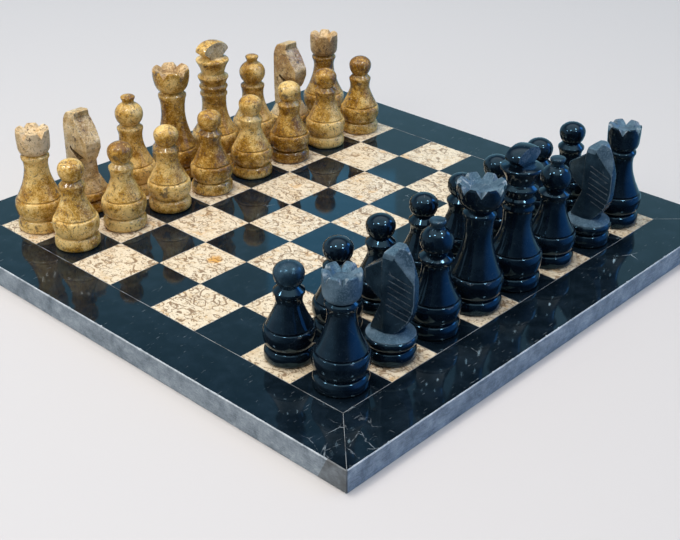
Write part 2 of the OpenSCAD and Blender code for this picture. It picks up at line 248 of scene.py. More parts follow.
@dataclass(frozen=True)
class Finish:
    """What every finish has: a name, and roughness at its smooth and dull spots."""

    name: str
    smooth: float = 0.2
    dull: float = 0.4

    def begin(self) -> tuple[bpy.types.Material, Sketch, bpy.types.Node, Socket]:
        """Starts a material.

        Returns:
            The material, its sketch, its shader node and the place in millimetres, moved by the
            offset that each cut stone carries.
        """
        material = bpy.data.materials.new(self.name)
        material.use_nodes = True
        sketch = Sketch(material.node_tree)
        shader = material.node_tree.nodes["Principled BSDF"]
        place = sketch.spread(sketch.object_place(), 1 / MM)
        moved = sketch.node("ShaderNodeAttribute", attribute_name="cut_from").outputs["Vector"]
        return material, sketch, shader, sketch.vector("ADD", place, moved)

    def curls(self, sk: Sketch, place: Feed, scale: float, width: float, seed: float, keep: float) -> Socket:
        """Broken rings and arcs, as shells cut through at random.

        Args:
            sk: The sketch.
            place: Where it is read, in millimetres.
            scale: Shells to the millimetre.
            width: Width of a line, in millimetres.
            seed: Slice of the noise.
            keep: Share of the lines left out, about 0.5.

        Returns:
            1 on a line and 0 off it.
        """
        turned = sk.node(
            "ShaderNodeMapping",
            {"Vector": place, "Rotation": (0.3 * seed, 0.2, 0.9 * seed), "Scale": (1.0, 0.62, 0.8)},
        ).outputs[0]
        cell = sk.cells(sk.warped(turned, scale * 0.8, 0.45 / scale, seed), scale)
        picked = sk.node("ShaderNodeSeparateColor", {0: cell.outputs["Color"]}).outputs[0]
        wanted = sk.math("MULTIPLY_ADD", picked, 0.42, 0.14)
        off = sk.math("ABSOLUTE", sk.math("SUBTRACT", cell.outputs["Distance"], wanted))
        line = sk.remap(off, width * scale * 0.4, width * scale, 1.0, 0.0)
        shown = sk.remap(sk.noise(place, scale * 1.7, 2.0, 0.5, seed + 3.1).outputs[0], keep, keep + 0.06)
        return sk.math("MULTIPLY", line, shown)

    def cracks(self, sk: Sketch, place: Feed, scale: float, width: float, seed: float, keep: float) -> Socket:
        """Hairlines between large cells, shown in parts.

        Args:
            sk: The sketch.
            place: Where it is read, in millimetres.
            scale: Cells to the millimetre.
            width: Width of a line, in millimetres.
            seed: Slice of the noise.
            keep: Share left out.

        Returns:
            1 on a line and 0 off it.
        """
        bent = sk.warped(sk.warped(place, scale * 1.3, 0.22 / scale, seed), 0.35, 0.5, seed + 5)
        edge = sk.cells(bent, scale, "DISTANCE_TO_EDGE").outputs["Distance"]
        line = sk.remap(edge, width * scale * 0.3, width * scale, 1.0, 0.0)
        shown = sk.remap(sk.noise(place, scale * 2.1, 3.0, 0.6, seed + 1.7).outputs[0], keep, keep + 0.12)
        return sk.math("MULTIPLY", line, shown)

    def worn(self, sk: Sketch, place: Feed, low: float = 0.515, high: float = 0.56) -> Socket:
        """Where handling has taken the polish off the edges.

        Args:
            sk: The sketch.
            place: Where it is read, in millimetres.
            low: Sharpness of an edge where wear starts.
            high: Sharpness of an edge that is all worn.

        Returns:
            1 where worn and 0 elsewhere.
        """
        edge = sk.remap(sk.node("ShaderNodeNewGeometry").outputs["Pointiness"], low, high)
        return sk.math("MULTIPLY", edge, sk.remap(sk.noise(place, 0.7, 3.0, 0.6, 12.0).outputs[0], 0.38, 0.6))

    def close(
        self, sk: Sketch, shader: bpy.types.Node, colour: Feed, rough: Feed, height: Feed, depth: float
    ) -> None:
        """Wires colour, roughness and relief into the shader.

        Args:
            sk: The sketch.
            shader: The shader node.
            colour: Base colour.
            rough: 0 where smooth and 1 where dull.
            height: Relief, 0 to 1.
            depth: Height of the relief in millimetres.
        """
        sk.tree.links.new(colour, shader.inputs["Base Color"])
        sk.tree.links.new(sk.remap(rough, 0.0, 1.0, self.smooth, self.dull), shader.inputs["Roughness"])
        bump = sk.node("ShaderNodeBump", {"Height": height, "Distance": depth * MM, "Strength": 1.0})
        sk.tree.links.new(bump.outputs[0], shader.inputs["Normal"])


@dataclass(frozen=True)
class GoldenFossil(Finish):
    """Golden-tan fossil stone: mottled ochre with brown specks, short dark lines and grey inclusions."""

    deep: Colour = (0.20, 0.082, 0.006)
    tan: Colour = (0.53, 0.28, 0.038)
    pale: Colour = (0.86, 0.60, 0.22)
    brown: Colour = (0.06, 0.026, 0.008)
    ash: Colour = (0.10, 0.078, 0.055)
    depth: float = 0.08

    def make(self) -> bpy.types.Material:
        """Builds the material."""
        material, sk, shader, place = self.begin()
        broad = sk.noise(place, 0.022, 2.0, 0.5, 1.0).outputs[0]
        cloud = sk.noise(sk.warped(place, 0.1, 3.0, 2.0), 0.15, 5.0, 0.66, 3.0).outputs[0]
        grain = sk.noise(place, 1.25, 4.0, 0.72, 4.0).outputs[0]
        tone = sk.math("ADD", sk.math("MULTIPLY", broad, 0.85), sk.math("MULTIPLY", cloud, 0.85))
        tone = sk.math("MULTIPLY_ADD", grain, 0.65, tone)
        colour = sk.mix(sk.remap(tone, 1.02, 1.22), self.deep, self.tan)
        colour = sk.mix(sk.remap(tone, 1.16, 1.36), colour, self.pale)
        crumbs = sk.remap(sk.noise(place, 0.55, 4.0, 0.8, 11.0).outputs[0], 0.55, 0.64, 0.0, 0.7)
        colour = sk.mix(crumbs, colour, self.pale)
        speck = sk.remap(sk.noise(place, 0.55, 4.0, 0.84, 6.0).outputs[0], 0.55, 0.61)
        lines = sk.math(
            "MAXIMUM",
            self.curls(sk, place, 0.17, 0.36, 2.0, 0.54),
            self.cracks(sk, sk.vector("MULTIPLY", place, (1.6, 1.6, 0.8)), 0.075, 0.5, 4.0, 0.55),
        )
        colour = sk.mix(sk.math("MULTIPLY", speck, 0.8), colour, self.brown)
        colour = sk.mix(sk.math("MULTIPLY", lines, 0.72), colour, self.brown)
        patch = sk.noise(sk.warped(place, 0.3, 1.2, 8.0), 0.085, 4.0, 0.6, 9.0).outputs[0]
        ash = sk.remap(patch, 0.63, 0.67, 0.0, 0.75)
        colour = sk.mix(ash, colour, self.ash)
        worn = self.worn(sk, place)
        colour = sk.mix(sk.math("MULTIPLY", worn, 0.6), colour, self.pale)
        pits = sk.math("MAXIMUM", speck, lines)
        height = sk.math("SUBTRACT", sk.math("MULTIPLY", grain, 0.45), sk.math("MULTIPLY", pits, 0.6))
        rough = sk.remap(sk.math("ADD", cloud, sk.math("MAXIMUM", pits, worn)), 0.4, 1.3)
        self.close(sk, shader, colour, rough, height, self.depth)
        return material


@dataclass(frozen=True)
class BlackMarble(Finish):
    """Black marble: almost even, with grey clouds, sparse white veins and short pale flecks."""

    body: Colour = (0.0022, 0.0042, 0.0078)
    cloud: Colour = (0.008, 0.015, 0.023)
    vein: Colour = (0.33, 0.37, 0.39)
    # Painted reflection: this colour tints every reflection of the stone blue, standing in for blue daylight
    # in the room, not a colour of the marble itself.
    painted_reflection_tint: Colour = (0.35, 0.72, 1.0)
    veining: float = 0.6
    wear: float = 0.0
    mottle: float = 0.5
    flecks: float = 0.25
    star_at: Optional[Spot] = None
    star_r: float = 20.0

    def make(self) -> bpy.types.Material:
        """Builds the material."""
        material, sk, shader, place = self.begin()
        clouds = sk.noise(sk.warped(place, 0.05, 6.0, 1.0), 0.09, 5.0, 0.62, 2.0).outputs[0]
        fine = sk.noise(place, 1.3, 4.0, 0.7, 3.0).outputs[0]
        colour = sk.mix(sk.remap(clouds, 0.40, 0.74), self.body, self.cloud)
        colour = sk.mix(sk.remap(fine, 0.44, 0.72, 0.0, self.mottle), colour, self.cloud)
        veins = sk.math("MULTIPLY", self.cracks(sk, place, 0.028, 0.26, 3.0, 0.60), self.veining)
        if self.star_at is not None:
            raw = sk.spread(sk.object_place(), 1 / MM)
            away = sk.measured("DISTANCE", raw, self.star_at)
            near = sk.remap(away, self.star_r * 0.2, self.star_r, 0.55, 0.0)
            star = sk.math("MULTIPLY", self.cracks(sk, raw, 0.062, 0.26, 4.0, 0.5), near)
            veins = sk.math("MAXIMUM", veins, star)
        drawn = sk.node(
            "ShaderNodeMapping", {"Vector": place, "Rotation": (0.0, 0.0, 0.62), "Scale": (0.16, 1.5, 0.6)}
        ).outputs[0]
        fleck = sk.remap(sk.noise(drawn, 0.85, 2.0, 0.5, 7.0).outputs[0], 0.67, 0.74)
        marks = sk.math("MAXIMUM", veins, sk.math("MULTIPLY", fleck, self.flecks))
        colour = sk.mix(marks, colour, self.vein)
        worn = sk.math("MULTIPLY", self.worn(sk, place), self.wear)
        colour = sk.mix(worn, colour, self.vein)
        wear = sk.remap(sk.noise(place, 0.06, 3.0, 0.6, 5.0).outputs[0], 0.35, 0.8)
        spoilt = sk.math("MAXIMUM", marks, worn)
        rough = sk.math("ADD", sk.math("MULTIPLY", wear, 0.7), sk.math("MULTIPLY", spoilt, 0.6))
        height = sk.math("SUBTRACT", sk.math("MULTIPLY", fine, 0.4), marks)
        self.close(sk, shader, colour, rough, height, 0.01 if self.dull < 0.4 else 0.06)
        # Painted reflection: the specular tint turns the stone's reflections blue, in place of blue daylight.
        shader.inputs["Specular Tint"].default_value = (*self.painted_reflection_tint, 1.0)
        return material


@dataclass(frozen=True)
class CreamFossil(Finish):
    """Cream fossil stone: pale ground crowded with brown shell outlines and amber patches."""

    ground: Colour = (0.77, 0.655, 0.475)
    sand: Colour = (0.60, 0.43, 0.24)
    line: Colour = (0.15, 0.066, 0.015)
    rust: Colour = (0.70, 0.36, 0.08)
    amber_at: Spot = (90.1, -16.4, 14.0)
    amber_r: float = 6.5

    def make(self) -> bpy.types.Material:
        """Builds the material."""
        material, sk, shader, place = self.begin()
        cloud = sk.noise(sk.warped(place, 0.12, 3.0, 1.0), 0.2, 5.0, 0.6, 2.0).outputs[0]
        grain = sk.noise(place, 1.1, 4.0, 0.72, 3.0).outputs[0]
        colour = sk.mix(sk.remap(cloud, 0.46, 0.70, 0.0, 0.7), self.ground, self.sand)
        colour = sk.mix(sk.remap(grain, 0.5, 0.72, 0.0, 0.55), colour, self.sand)
        flakes = sk.cells(sk.warped(place, 0.35, 1.6, 8.0), 0.3)
        picked = sk.node("ShaderNodeSeparateColor", {0: flakes.outputs["Color"]}).outputs[1]
        core = sk.remap(flakes.outputs["Distance"], 0.22, 0.40, 1.0, 0.0)
        filled = sk.math("MULTIPLY", sk.remap(picked, 0.62, 0.72, 0.0, 0.6), core)
        colour = sk.mix(filled, colour, self.sand)
        shells = sk.math(
            "MAXIMUM",
            self.curls(sk, place, 0.13, 0.42, 1.0, 0.40),
            self.curls(sk, place, 0.21, 0.30, 2.3, 0.42),
        )
        shells = sk.math("MAXIMUM", shells, self.curls(sk, place, 0.34, 0.22, 5.1, 0.45))
        shells = sk.math("MAXIMUM", shells, self.curls(sk, place, 0.08, 0.45, 3.7, 0.46))
        crumbs = sk.remap(sk.noise(place, 0.62, 4.0, 0.74, 5.0).outputs[0], 0.57, 0.65)
        rust = sk.noise(sk.warped(place, 0.2, 2.0, 6.0), 0.11, 3.0, 0.5, 7.0).outputs[0]
        amber = sk.remap(rust, 0.60, 0.68)
        colour = sk.mix(sk.math("MULTIPLY", amber, 0.4), colour, self.rust)
        raw = sk.warped(sk.spread(sk.object_place(), 1 / MM), 0.17, 5.0, 9.0)
        apart = sk.measured("DISTANCE", raw, self.amber_at)
        colour = sk.mix(sk.remap(apart, self.amber_r * 0.35, self.amber_r, 0.95, 0.0), colour, self.rust)
        colour = sk.mix(sk.math("MULTIPLY", crumbs, 0.5), colour, self.line)
        colour = sk.mix(sk.math("MULTIPLY", shells, 0.8), colour, self.line)
        marks = sk.math("MAXIMUM", shells, crumbs)
        rough = sk.math("ADD", sk.math("MULTIPLY", marks, 0.6), sk.math("MULTIPLY", cloud, 0.3))
        height = sk.math("SUBTRACT", sk.math("MULTIPLY", grain, 0.3), marks)
        self.close(sk, shader, colour, rough, height, 0.03)
        return material


@dataclass(frozen=True)
class SawnMarble(Finish):
    """Black marble as it comes from the saw: grey, matt, with fine scratches along the cut."""

    grey: Colour = (0.265, 0.31, 0.35)
    dark: Colour = (0.11, 0.14, 0.17)
    light: Colour = (0.46, 0.51, 0.55)
    mend: Colour = (0.085, 0.083, 0.078)
    mend_x: float = 189.2
    mend_y: float = 170.0

    def make(self) -> bpy.types.Material:
        """Builds the material."""
        material, sk, shader, place = self.begin()
        cloud = sk.noise(sk.warped(place, 0.08, 4.0, 1.0), 0.11, 5.0, 0.65, 2.0).outputs[0]
        fine = sk.noise(place, 1.1, 5.0, 0.75, 3.0).outputs[0]
        drawn = sk.node("ShaderNodeMapping", {"Vector": place, "Scale": (0.22, 0.22, 2.6)}).outputs[0]
        scratch = sk.noise(drawn, 1.0, 3.0, 0.6, 4.0).outputs[0]
        marked = sk.math("ADD", sk.math("MULTIPLY", fine, 0.3), sk.math("MULTIPLY", scratch, 0.35))
        tone = sk.math("ADD", sk.math("MULTIPLY", cloud, 0.6), marked)
        colour = sk.mix(sk.remap(tone, 0.48, 0.70), self.dark, self.grey)
        colour = sk.mix(sk.remap(tone, 0.64, 0.86), colour, self.light)
        chips = sk.remap(sk.noise(place, 0.55, 4.0, 0.7, 6.0).outputs[0], 0.64, 0.7, 0.0, 0.45)
        colour = sk.mix(chips, colour, self.light)
        raw = sk.node("ShaderNodeSeparateXYZ", {0: sk.object_place()}).outputs
        past = sk.math("SUBTRACT", raw[1], sk.math("MULTIPLY", raw[2], 0.45))
        mended = sk.math(
            "MULTIPLY",
            sk.remap(raw[0], (self.mend_x - 0.4) * MM, self.mend_x * MM),
            sk.remap(past, self.mend_y * MM, (self.mend_y + 0.5) * MM),
        )
        colour = sk.mix(sk.math("MULTIPLY", mended, sk.remap(cloud, 0.3, 0.6, 0.9, 0.55)), colour, self.mend)
        self.close(sk, shader, colour, fine, sk.math("ADD", fine, sk.math("MULTIPLY", scratch, 0.6)), 0.14)
        return material


@dataclass(frozen=True)
class Resin(Finish):
    """The pale filler of the seams, stained in places."""

    pale: Colour = (0.29, 0.30, 0.30)
    stained: Colour = (0.07, 0.07, 0.068)

    def make(self) -> bpy.types.Material:
        """Builds the material."""
        material, sk, shader, place = self.begin()
        stain = sk.noise(place, 0.07, 4.0, 0.6, 1.0).outputs[0]
        colour = sk.mix(sk.remap(stain, 0.42, 0.62), self.pale, self.stained)
        self.close(sk, shader, colour, stain, sk.noise(place, 2.0, 2.0).outputs[0], 0.03)
        return material


@dataclass(frozen=True)
class SawLine(Finish):
    """The dusty bottom of a line cut with a saw."""

    dust: Colour = (0.20, 0.25, 0.28)
    dirt: Colour = (0.07, 0.09, 0.11)

    def make(self) -> bpy.types.Material:
        """Builds the material."""
        _, sk, shader, place = made = self.begin()
        powder = sk.noise(place, 0.9, 3.0, 0.6, 1.0).outputs[0]
        colour = sk.mix(sk.remap(powder, 0.38, 0.6), self.dirt, self.dust)
        self.close(sk, shader, colour, powder, powder, 0.05)
        return made[0]


GOLD = GoldenFossil("golden_stone_polished", 0.10, 0.30)
GOLD_SATIN = GoldenFossil(
    "golden_stone_satin", 0.26, 0.5,
    deep=(0.34, 0.18, 0.055), tan=(0.60, 0.40, 0.155), pale=(0.80, 0.62, 0.36), depth=0.14,
)
GOLD_HONED = GoldenFossil(
    "golden_stone_honed", 0.45, 0.7,
    deep=(0.30, 0.165, 0.05), tan=(0.55, 0.35, 0.14), pale=(0.76, 0.57, 0.33), depth=0.18,
)
GOLD_LINE = SawLine("golden_stone_line", 0.7, 0.9, dust=(0.25, 0.15, 0.055), dirt=(0.06, 0.03, 0.010))
BLACK = BlackMarble("black_marble_polished", 0.06, 0.18, veining=0.35, flecks=0.05, wear=0.2)
BLACK_SATIN = BlackMarble(
    "black_marble_satin", 0.2, 0.36,
    body=(0.007, 0.016, 0.026), cloud=(0.026, 0.050, 0.072), veining=0.3, flecks=0.15, wear=0.4,
)
BLACK_HONED = BlackMarble(
    "black_marble_honed", 0.36, 0.58,
    body=(0.027, 0.052, 0.075), cloud=(0.135, 0.20, 0.255), veining=0.5, flecks=0.5, wear=0.9, mottle=0.9,
)
BLACK_LINE = SawLine("black_marble_line", 0.7, 0.9)
# The tiles and border carry a fainter painted reflection: their reflections are tinted slightly blue.
BLACK_TILE = BlackMarble(
    "black_marble_tile", 0.03, 0.10,
    body=(0.0028, 0.0062, 0.0098), veining=0.5, flecks=0.08, painted_reflection_tint=(0.75, 0.95, 1.0),
)
BLACK_BORDER = BlackMarble(
    "black_marble_border", 0.04, 0.12,
    body=(0.0028, 0.0062, 0.0098), veining=0.85, flecks=0.3, painted_reflection_tint=(0.75, 0.95, 1.0),
    star_at=(173.0, 176.0, 14.0), star_r=34.0,
)
CREAM = CreamFossil("cream_fossil_tile", 0.14, 0.34)
SAWN = SawnMarble("sawn_marble_edge", 0.5, 0.75)
ARRIS = SawnMarble(
    "worn_marble_arris", 0.45, 0.7, grey=(0.44, 0.47, 0.49), dark=(0.24, 0.27, 0.29), light=(0.66, 0.68, 0.69)
)
RESIN = Resin("seam_resin", 0.35, 0.6)


class Palette:
    """Builds each finish once and hands it out."""

    def __init__(self) -> None:
        """Starts with nothing built."""
        self.made: dict[str, bpy.types.Material] = {}

    def get(self, finish: Finish) -> bpy.types.Material:
        """The material of a finish."""
        if finish.name not in self.made:
            self.made[finish.name] = finish.make()
        return self.made[finish.name]


PALETTE = Palette()


# ---- mesh work ----


def settle_slots(mesh: bpy.types.Mesh, finishes: Sequence[Finish]) -> None:
    """Leaves a mesh one slot for each finish, and every face its own material, or else the first.

    Args:
        mesh: The mesh.
        finishes: Its finishes, in slot order.
    """
    wanted = [PALETTE.get(finish) for finish in finishes]
    order = [wanted.index(m) if m in wanted else 0 for m in mesh.materials] or [0]
    slots = np.zeros(len(mesh.polygons), np.int32)
    mesh.polygons.foreach_get("material_index", slots)
    mesh.materials.clear()
    for material in wanted:
        mesh.materials.append(material)
    mesh.polygons.foreach_set("material_index", np.array(order, np.int32)[np.minimum(slots, len(order) - 1)])


def add_object(name: str, mesh: bpy.types.Mesh) -> bpy.types.Object:
    """Puts a mesh into the scene at the origin.

    Args:
        name: The object's name.
        mesh: Its mesh.

    Returns:
        The object.
    """
    made = bpy.data.objects.new(name, mesh)
    bpy.context.scene.collection.objects.link(made)
    return made


def drop(*objects: bpy.types.Object) -> None:
    """Removes helper objects and their meshes."""
    for o in objects:
        mesh = o.data
        bpy.data.objects.remove(o)
        if mesh.users == 0:
            bpy.data.meshes.remove(mesh)


def baked(o: bpy.types.Object) -> bpy.types.Object:
    """Turns an object's modifiers into plain mesh.

    Args:
        o: The object.

    Returns:
        The same object, with no modifier left.
    """
    graph = bpy.context.evaluated_depsgraph_get()
    graph.update()
    shown = o.evaluated_get(graph)
    mesh = bpy.data.meshes.new_from_object(shown, preserve_all_data_layers=True, depsgraph=graph)
    old, o.data = o.data, mesh
    o.modifiers.clear()
    if old.users == 0:
        bpy.data.meshes.remove(old)
    return o


def run_tree(o: bpy.types.Object, tree: bpy.types.NodeTree, values: dict[str, Feed]) -> bpy.types.Object:
    """Runs a geometry tree on an object and keeps the result as plain mesh.

    Args:
        o: The object.
        tree: The tree.
        values: Input name to value.

    Returns:
        The same object.
    """
    modifier = o.modifiers.new(tree.name, "NODES")
    modifier.node_group = tree
    for item in tree.interface.items_tree:
        if item.in_out == "INPUT" and item.name in values:
            modifier[item.identifier] = values[item.name]
    return baked(o)


def shape_with(o: bpy.types.Object, kind: str, **settings: object) -> bpy.types.Object:
    """Adds one modifier and turns it into plain mesh.

    Args:
        o: The object.
        kind: The modifier's type name.
        **settings: Its settings.

    Returns:
        The same object.
    """
    modifier = o.modifiers.new(kind.lower(), kind)
    for key, value in settings.items():
        setattr(modifier, key, value)
    return baked(o)


def cut(o: bpy.types.Object, tool: bpy.types.Object, operation: str = "DIFFERENCE") -> bpy.types.Object:
    """Cuts, joins or intersects an object with another, which is used up and leaves its finish on the cut.

    Args:
        o: The stone.
        tool: The other solid.
        operation: Name of the boolean.

    Returns:
        The same object.
    """
    shape_with(o, "BOOLEAN", operation=operation, object=tool, solver="EXACT", material_mode="TRANSFER")
    drop(tool)
    return o


def face_outward(mesh: bpy.types.Mesh) -> None:
    """Turns the faces of a closed mesh outward."""
    bm = bmesh.new()
    bm.from_mesh(mesh)
    bmesh.ops.recalc_face_normals(bm, faces=bm.faces)
    bm.to_mesh(mesh)
    bm.free()


def prism(outline: Sequence[Point], facing: Facing, low: float, high: float) -> bpy.types.Object:
    """A straight block sawn to an outline.

    Args:
        outline: Corners, as (Y, Z) from the side, (X, Y) from above or (X, Z) from the front.
        facing: From where the outline is seen.
        low: Start of the block along the line of sight.
        high: End of the block.

    Returns:
        The block, in millimetres.
    """
    lift = {
        Facing.SIDE: lambda p, d: (d, p[0], p[1]),
        Facing.TOP: lambda p, d: (p[0], p[1], d),
        Facing.FRONT: lambda p, d: (p[0], d, p[1]),
    }[facing]
    bm = bmesh.new()
    ends = [[bm.verts.new(lift(p, d)) for p in outline] for d in (low, high)]
    bm.faces.new(ends[0])
    bm.faces.new(ends[1])
    for i in range(len(outline)):
        j = (i + 1) % len(outline)
        bm.faces.new((ends[0][i], ends[0][j], ends[1][j], ends[1][i]))
    bmesh.ops.recalc_face_normals(bm, faces=bm.faces)
    mesh = bpy.data.meshes.new("block")
    bm.to_mesh(mesh)
    bm.free()
    return add_object("block", mesh)


def both_sides(half: Sequence[tuple[float, float]]) -> list[tuple[float, float]]:
    """An outline from its right half, mirrored to the left."""
    return [*half, *[(-x, y) for x, y in reversed(half)]]


def beyond(at: Colour, normal: Colour) -> bpy.types.Object:
    """All that lies past a plane, as a large block.

    Args:
        at: A point of the plane, in millimetres.
        normal: The way out of the plane.

    Returns:
        The block.
    """
    made = prism([(-60, -60), (60, -60), (60, 60), (-60, 60)], Facing.TOP, 0, 30)
    turn = Vector((0, 0, 1)).rotation_difference(Vector(normal)).to_matrix().to_4x4()
    made.data.transform(Matrix.Translation(at) @ turn)
    return made


def flipped_copy(o: bpy.types.Object) -> bpy.types.Object:
    """A copy mirrored to the other side of the plane X = 0, faces still outward."""
    made = add_object(o.name, o.data.copy())
    made.data.transform(Matrix.Scale(-1, 4, (1, 0, 0)))
    made.data.flip_normals()
    return made


def cut_both(o: bpy.types.Object, tool: bpy.types.Object) -> None:
    """Cuts an object with a tool and with its mirror image."""
    cut(o, flipped_copy(tool))
    cut(o, tool)


# ---- geometry trees ----


def open_tree(name: str, **inputs: str) -> tuple[bpy.types.NodeTree, Sketch, bpy.types.Node]:
    """Starts a geometry tree.

    Args:
        name: Its name.
        **inputs: Name and socket type of each input, with _ for a space in the name.

    Returns:
        The tree, its sketch and its input node.
    """
    tree = bpy.data.node_groups.new(name, "GeometryNodeTree")
    for label, kind in inputs.items():
        name = label.replace("_", " ")
        tree.interface.new_socket(name=name, in_out="INPUT", socket_type=f"NodeSocket{kind}")
    tree.interface.new_socket(name="Shape", in_out="OUTPUT", socket_type="NodeSocketGeometry")
    sketch = Sketch(tree)
    return tree, sketch, sketch.node("NodeGroupInput")


def close_tree(sk: Sketch, shape: Feed, stone: Feed) -> None:
    """Ends a geometry tree with real, smooth, dressed mesh.

    Args:
        sk: The tree's sketch.
        shape: The geometry.
        stone: The material.
    """
    real = sk.node("GeometryNodeRealizeInstances", {0: shape}).outputs[0]
    smooth = sk.node("GeometryNodeSetShadeSmooth", {0: real}).outputs[0]
    dressed = sk.node("GeometryNodeSetMaterial", {"Geometry": smooth, "Material": stone}).outputs[0]
    sk.node("NodeGroupOutput", {0: dressed})


def lathe_tree() -> bpy.types.NodeTree:
    """Turns an outline round the Z axis, slightly out of true as hand turning leaves it."""
    tree, sk, given = open_tree(
        "turned_stone",
        Outline="Geometry",
        Segments="Int",
        Out_Of_Round="Float",
        Unevenness="Float",
        Seed="Int",
        Stone="Material",
    )
    get = given.outputs
    rows = sk.node("GeometryNodeAttributeDomainSize", {0: get["Outline"]}, component="MESH").outputs[0]
    columns = sk.math("ADD", get["Segments"], 1.0)
    grid = sk.node("GeometryNodeMeshGrid", {"Vertices X": columns, "Vertices Y": rows}).outputs[0]
    index = sk.node("GeometryNodeInputIndex").outputs[0]
    column = sk.math("FLOOR", sk.math("DIVIDE", sk.math("ADD", index, 0.5), rows))
    row = sk.math("SUBTRACT", index, sk.math("MULTIPLY", column, rows))
    point = sk.node(
        "GeometryNodeSampleIndex",
        {0: get["Outline"], "Value": sk.node("GeometryNodeInputPosition").outputs[0], "Index": row},
        data_type="FLOAT_VECTOR",
        domain="POINT",
    ).outputs[0]
    split = sk.node("ShaderNodeSeparateXYZ", {0: point}).outputs
    angle = sk.math("MULTIPLY", sk.math("DIVIDE", column, get["Segments"]), TWO_PI)
    ways = (sk.math("COSINE", angle), sk.math("SINE", angle))
    around = sk.joined(*(sk.math("MULTIPLY", split[0], way) for way in ways), split[2])
    slice_at = sk.math("MULTIPLY", get["Seed"], 7.3)
    rough = sk.math("SUBTRACT", sk.noise(around, 0.22, 3.0, 0.55, slice_at).outputs[0], 0.5)
    oval = sk.math("COSINE", sk.math("ADD", sk.math("MULTIPLY", angle, 2.0), get["Seed"]))
    uneven = sk.math("MULTIPLY", rough, get["Unevenness"])
    off = sk.math("ADD", uneven, sk.math("MULTIPLY", oval, get["Out Of Round"]))
    radius = sk.math("ADD", split[0], sk.math("MULTIPLY", off, sk.remap(split[0], 0.0, 3.0)))
    placed = sk.joined(*(sk.math("MULTIPLY", radius, way) for way in ways), split[2])
    moved = sk.node("GeometryNodeSetPosition", {"Geometry": grid, "Position": placed}).outputs[0]
    closed = sk.node("GeometryNodeMergeByDistance", {0: moved, "Distance": 0.0005}).outputs[0]
    close_tree(sk, closed, get["Stone"])
    return tree


def notch_tree() -> bpy.types.NodeTree:
    """Repeats one cutter round the Z axis, each a little off its even place as hand work is."""
    tree, sk, given = open_tree(
        "rim_notches", Cutter="Geometry", Count="Int", Slip="Float", Seed="Int", Stone="Material"
    )
    get = given.outputs
    posts = sk.node("GeometryNodeMeshLine", {"Count": get["Count"], "Offset": (0.0, 0.0, 0.0)}).outputs[0]
    index = sk.node("GeometryNodeInputIndex").outputs[0]
    slip = sk.node(
        "FunctionNodeRandomValue",
        {"Min": sk.math("MULTIPLY", get["Slip"], -1.0), "Max": get["Slip"], "ID": index, "Seed": get["Seed"]},
        data_type="FLOAT",
    )
    slip_out = next(s for s in slip.outputs if s.enabled)
    even = sk.math("DIVIDE", sk.math("MULTIPLY", index, TWO_PI), get["Count"])
    turn = sk.joined(z=sk.math("ADD", even, slip_out))
    ring = sk.node(
        "GeometryNodeInstanceOnPoints", {"Points": posts, "Instance": get["Cutter"], "Rotation": turn}
    ).outputs[0]
    close_tree(sk, ring, get["Stone"])
    return tree


def lines_tree() -> bpy.types.NodeTree:
    """Repeats one thin cutter up a row, each a little off its even place and turn."""
    tree, sk, given = open_tree(
        "saw_lines",
        Cutter="Geometry", Count="Int", First="Vector", Pitch="Vector", Turn="Vector",
        Slip="Float", Seed="Int", Stone="Material",
    )
    get = given.outputs
    row = sk.node(
        "GeometryNodeMeshLine",
        {"Count": get["Count"], "Start Location": get["First"], "Offset": get["Pitch"]},
    ).outputs[0]
    slip = sk.node("FunctionNodeRandomValue", {"Seed": get["Seed"]}, data_type="FLOAT_VECTOR")
    low, high = [s for s in slip.inputs if s.enabled][:2]
    low.default_value, high.default_value = (-1.0, -1.0, -1.0), (1.0, 1.0, 1.0)
    way = next(s for s in slip.outputs if s.enabled)
    push = sk.spread(way, get["Slip"])
    moved = sk.node("GeometryNodeSetPosition", {"Geometry": row, "Offset": push}).outputs[0]
    turn = sk.vector("ADD", get["Turn"], sk.spread(push, 0.15))
    cutters = sk.node(
        "GeometryNodeInstanceOnPoints", {"Points": moved, "Instance": get["Cutter"], "Rotation": turn}
    ).outputs[0]
    close_tree(sk, cutters, get["Stone"])
    return tree


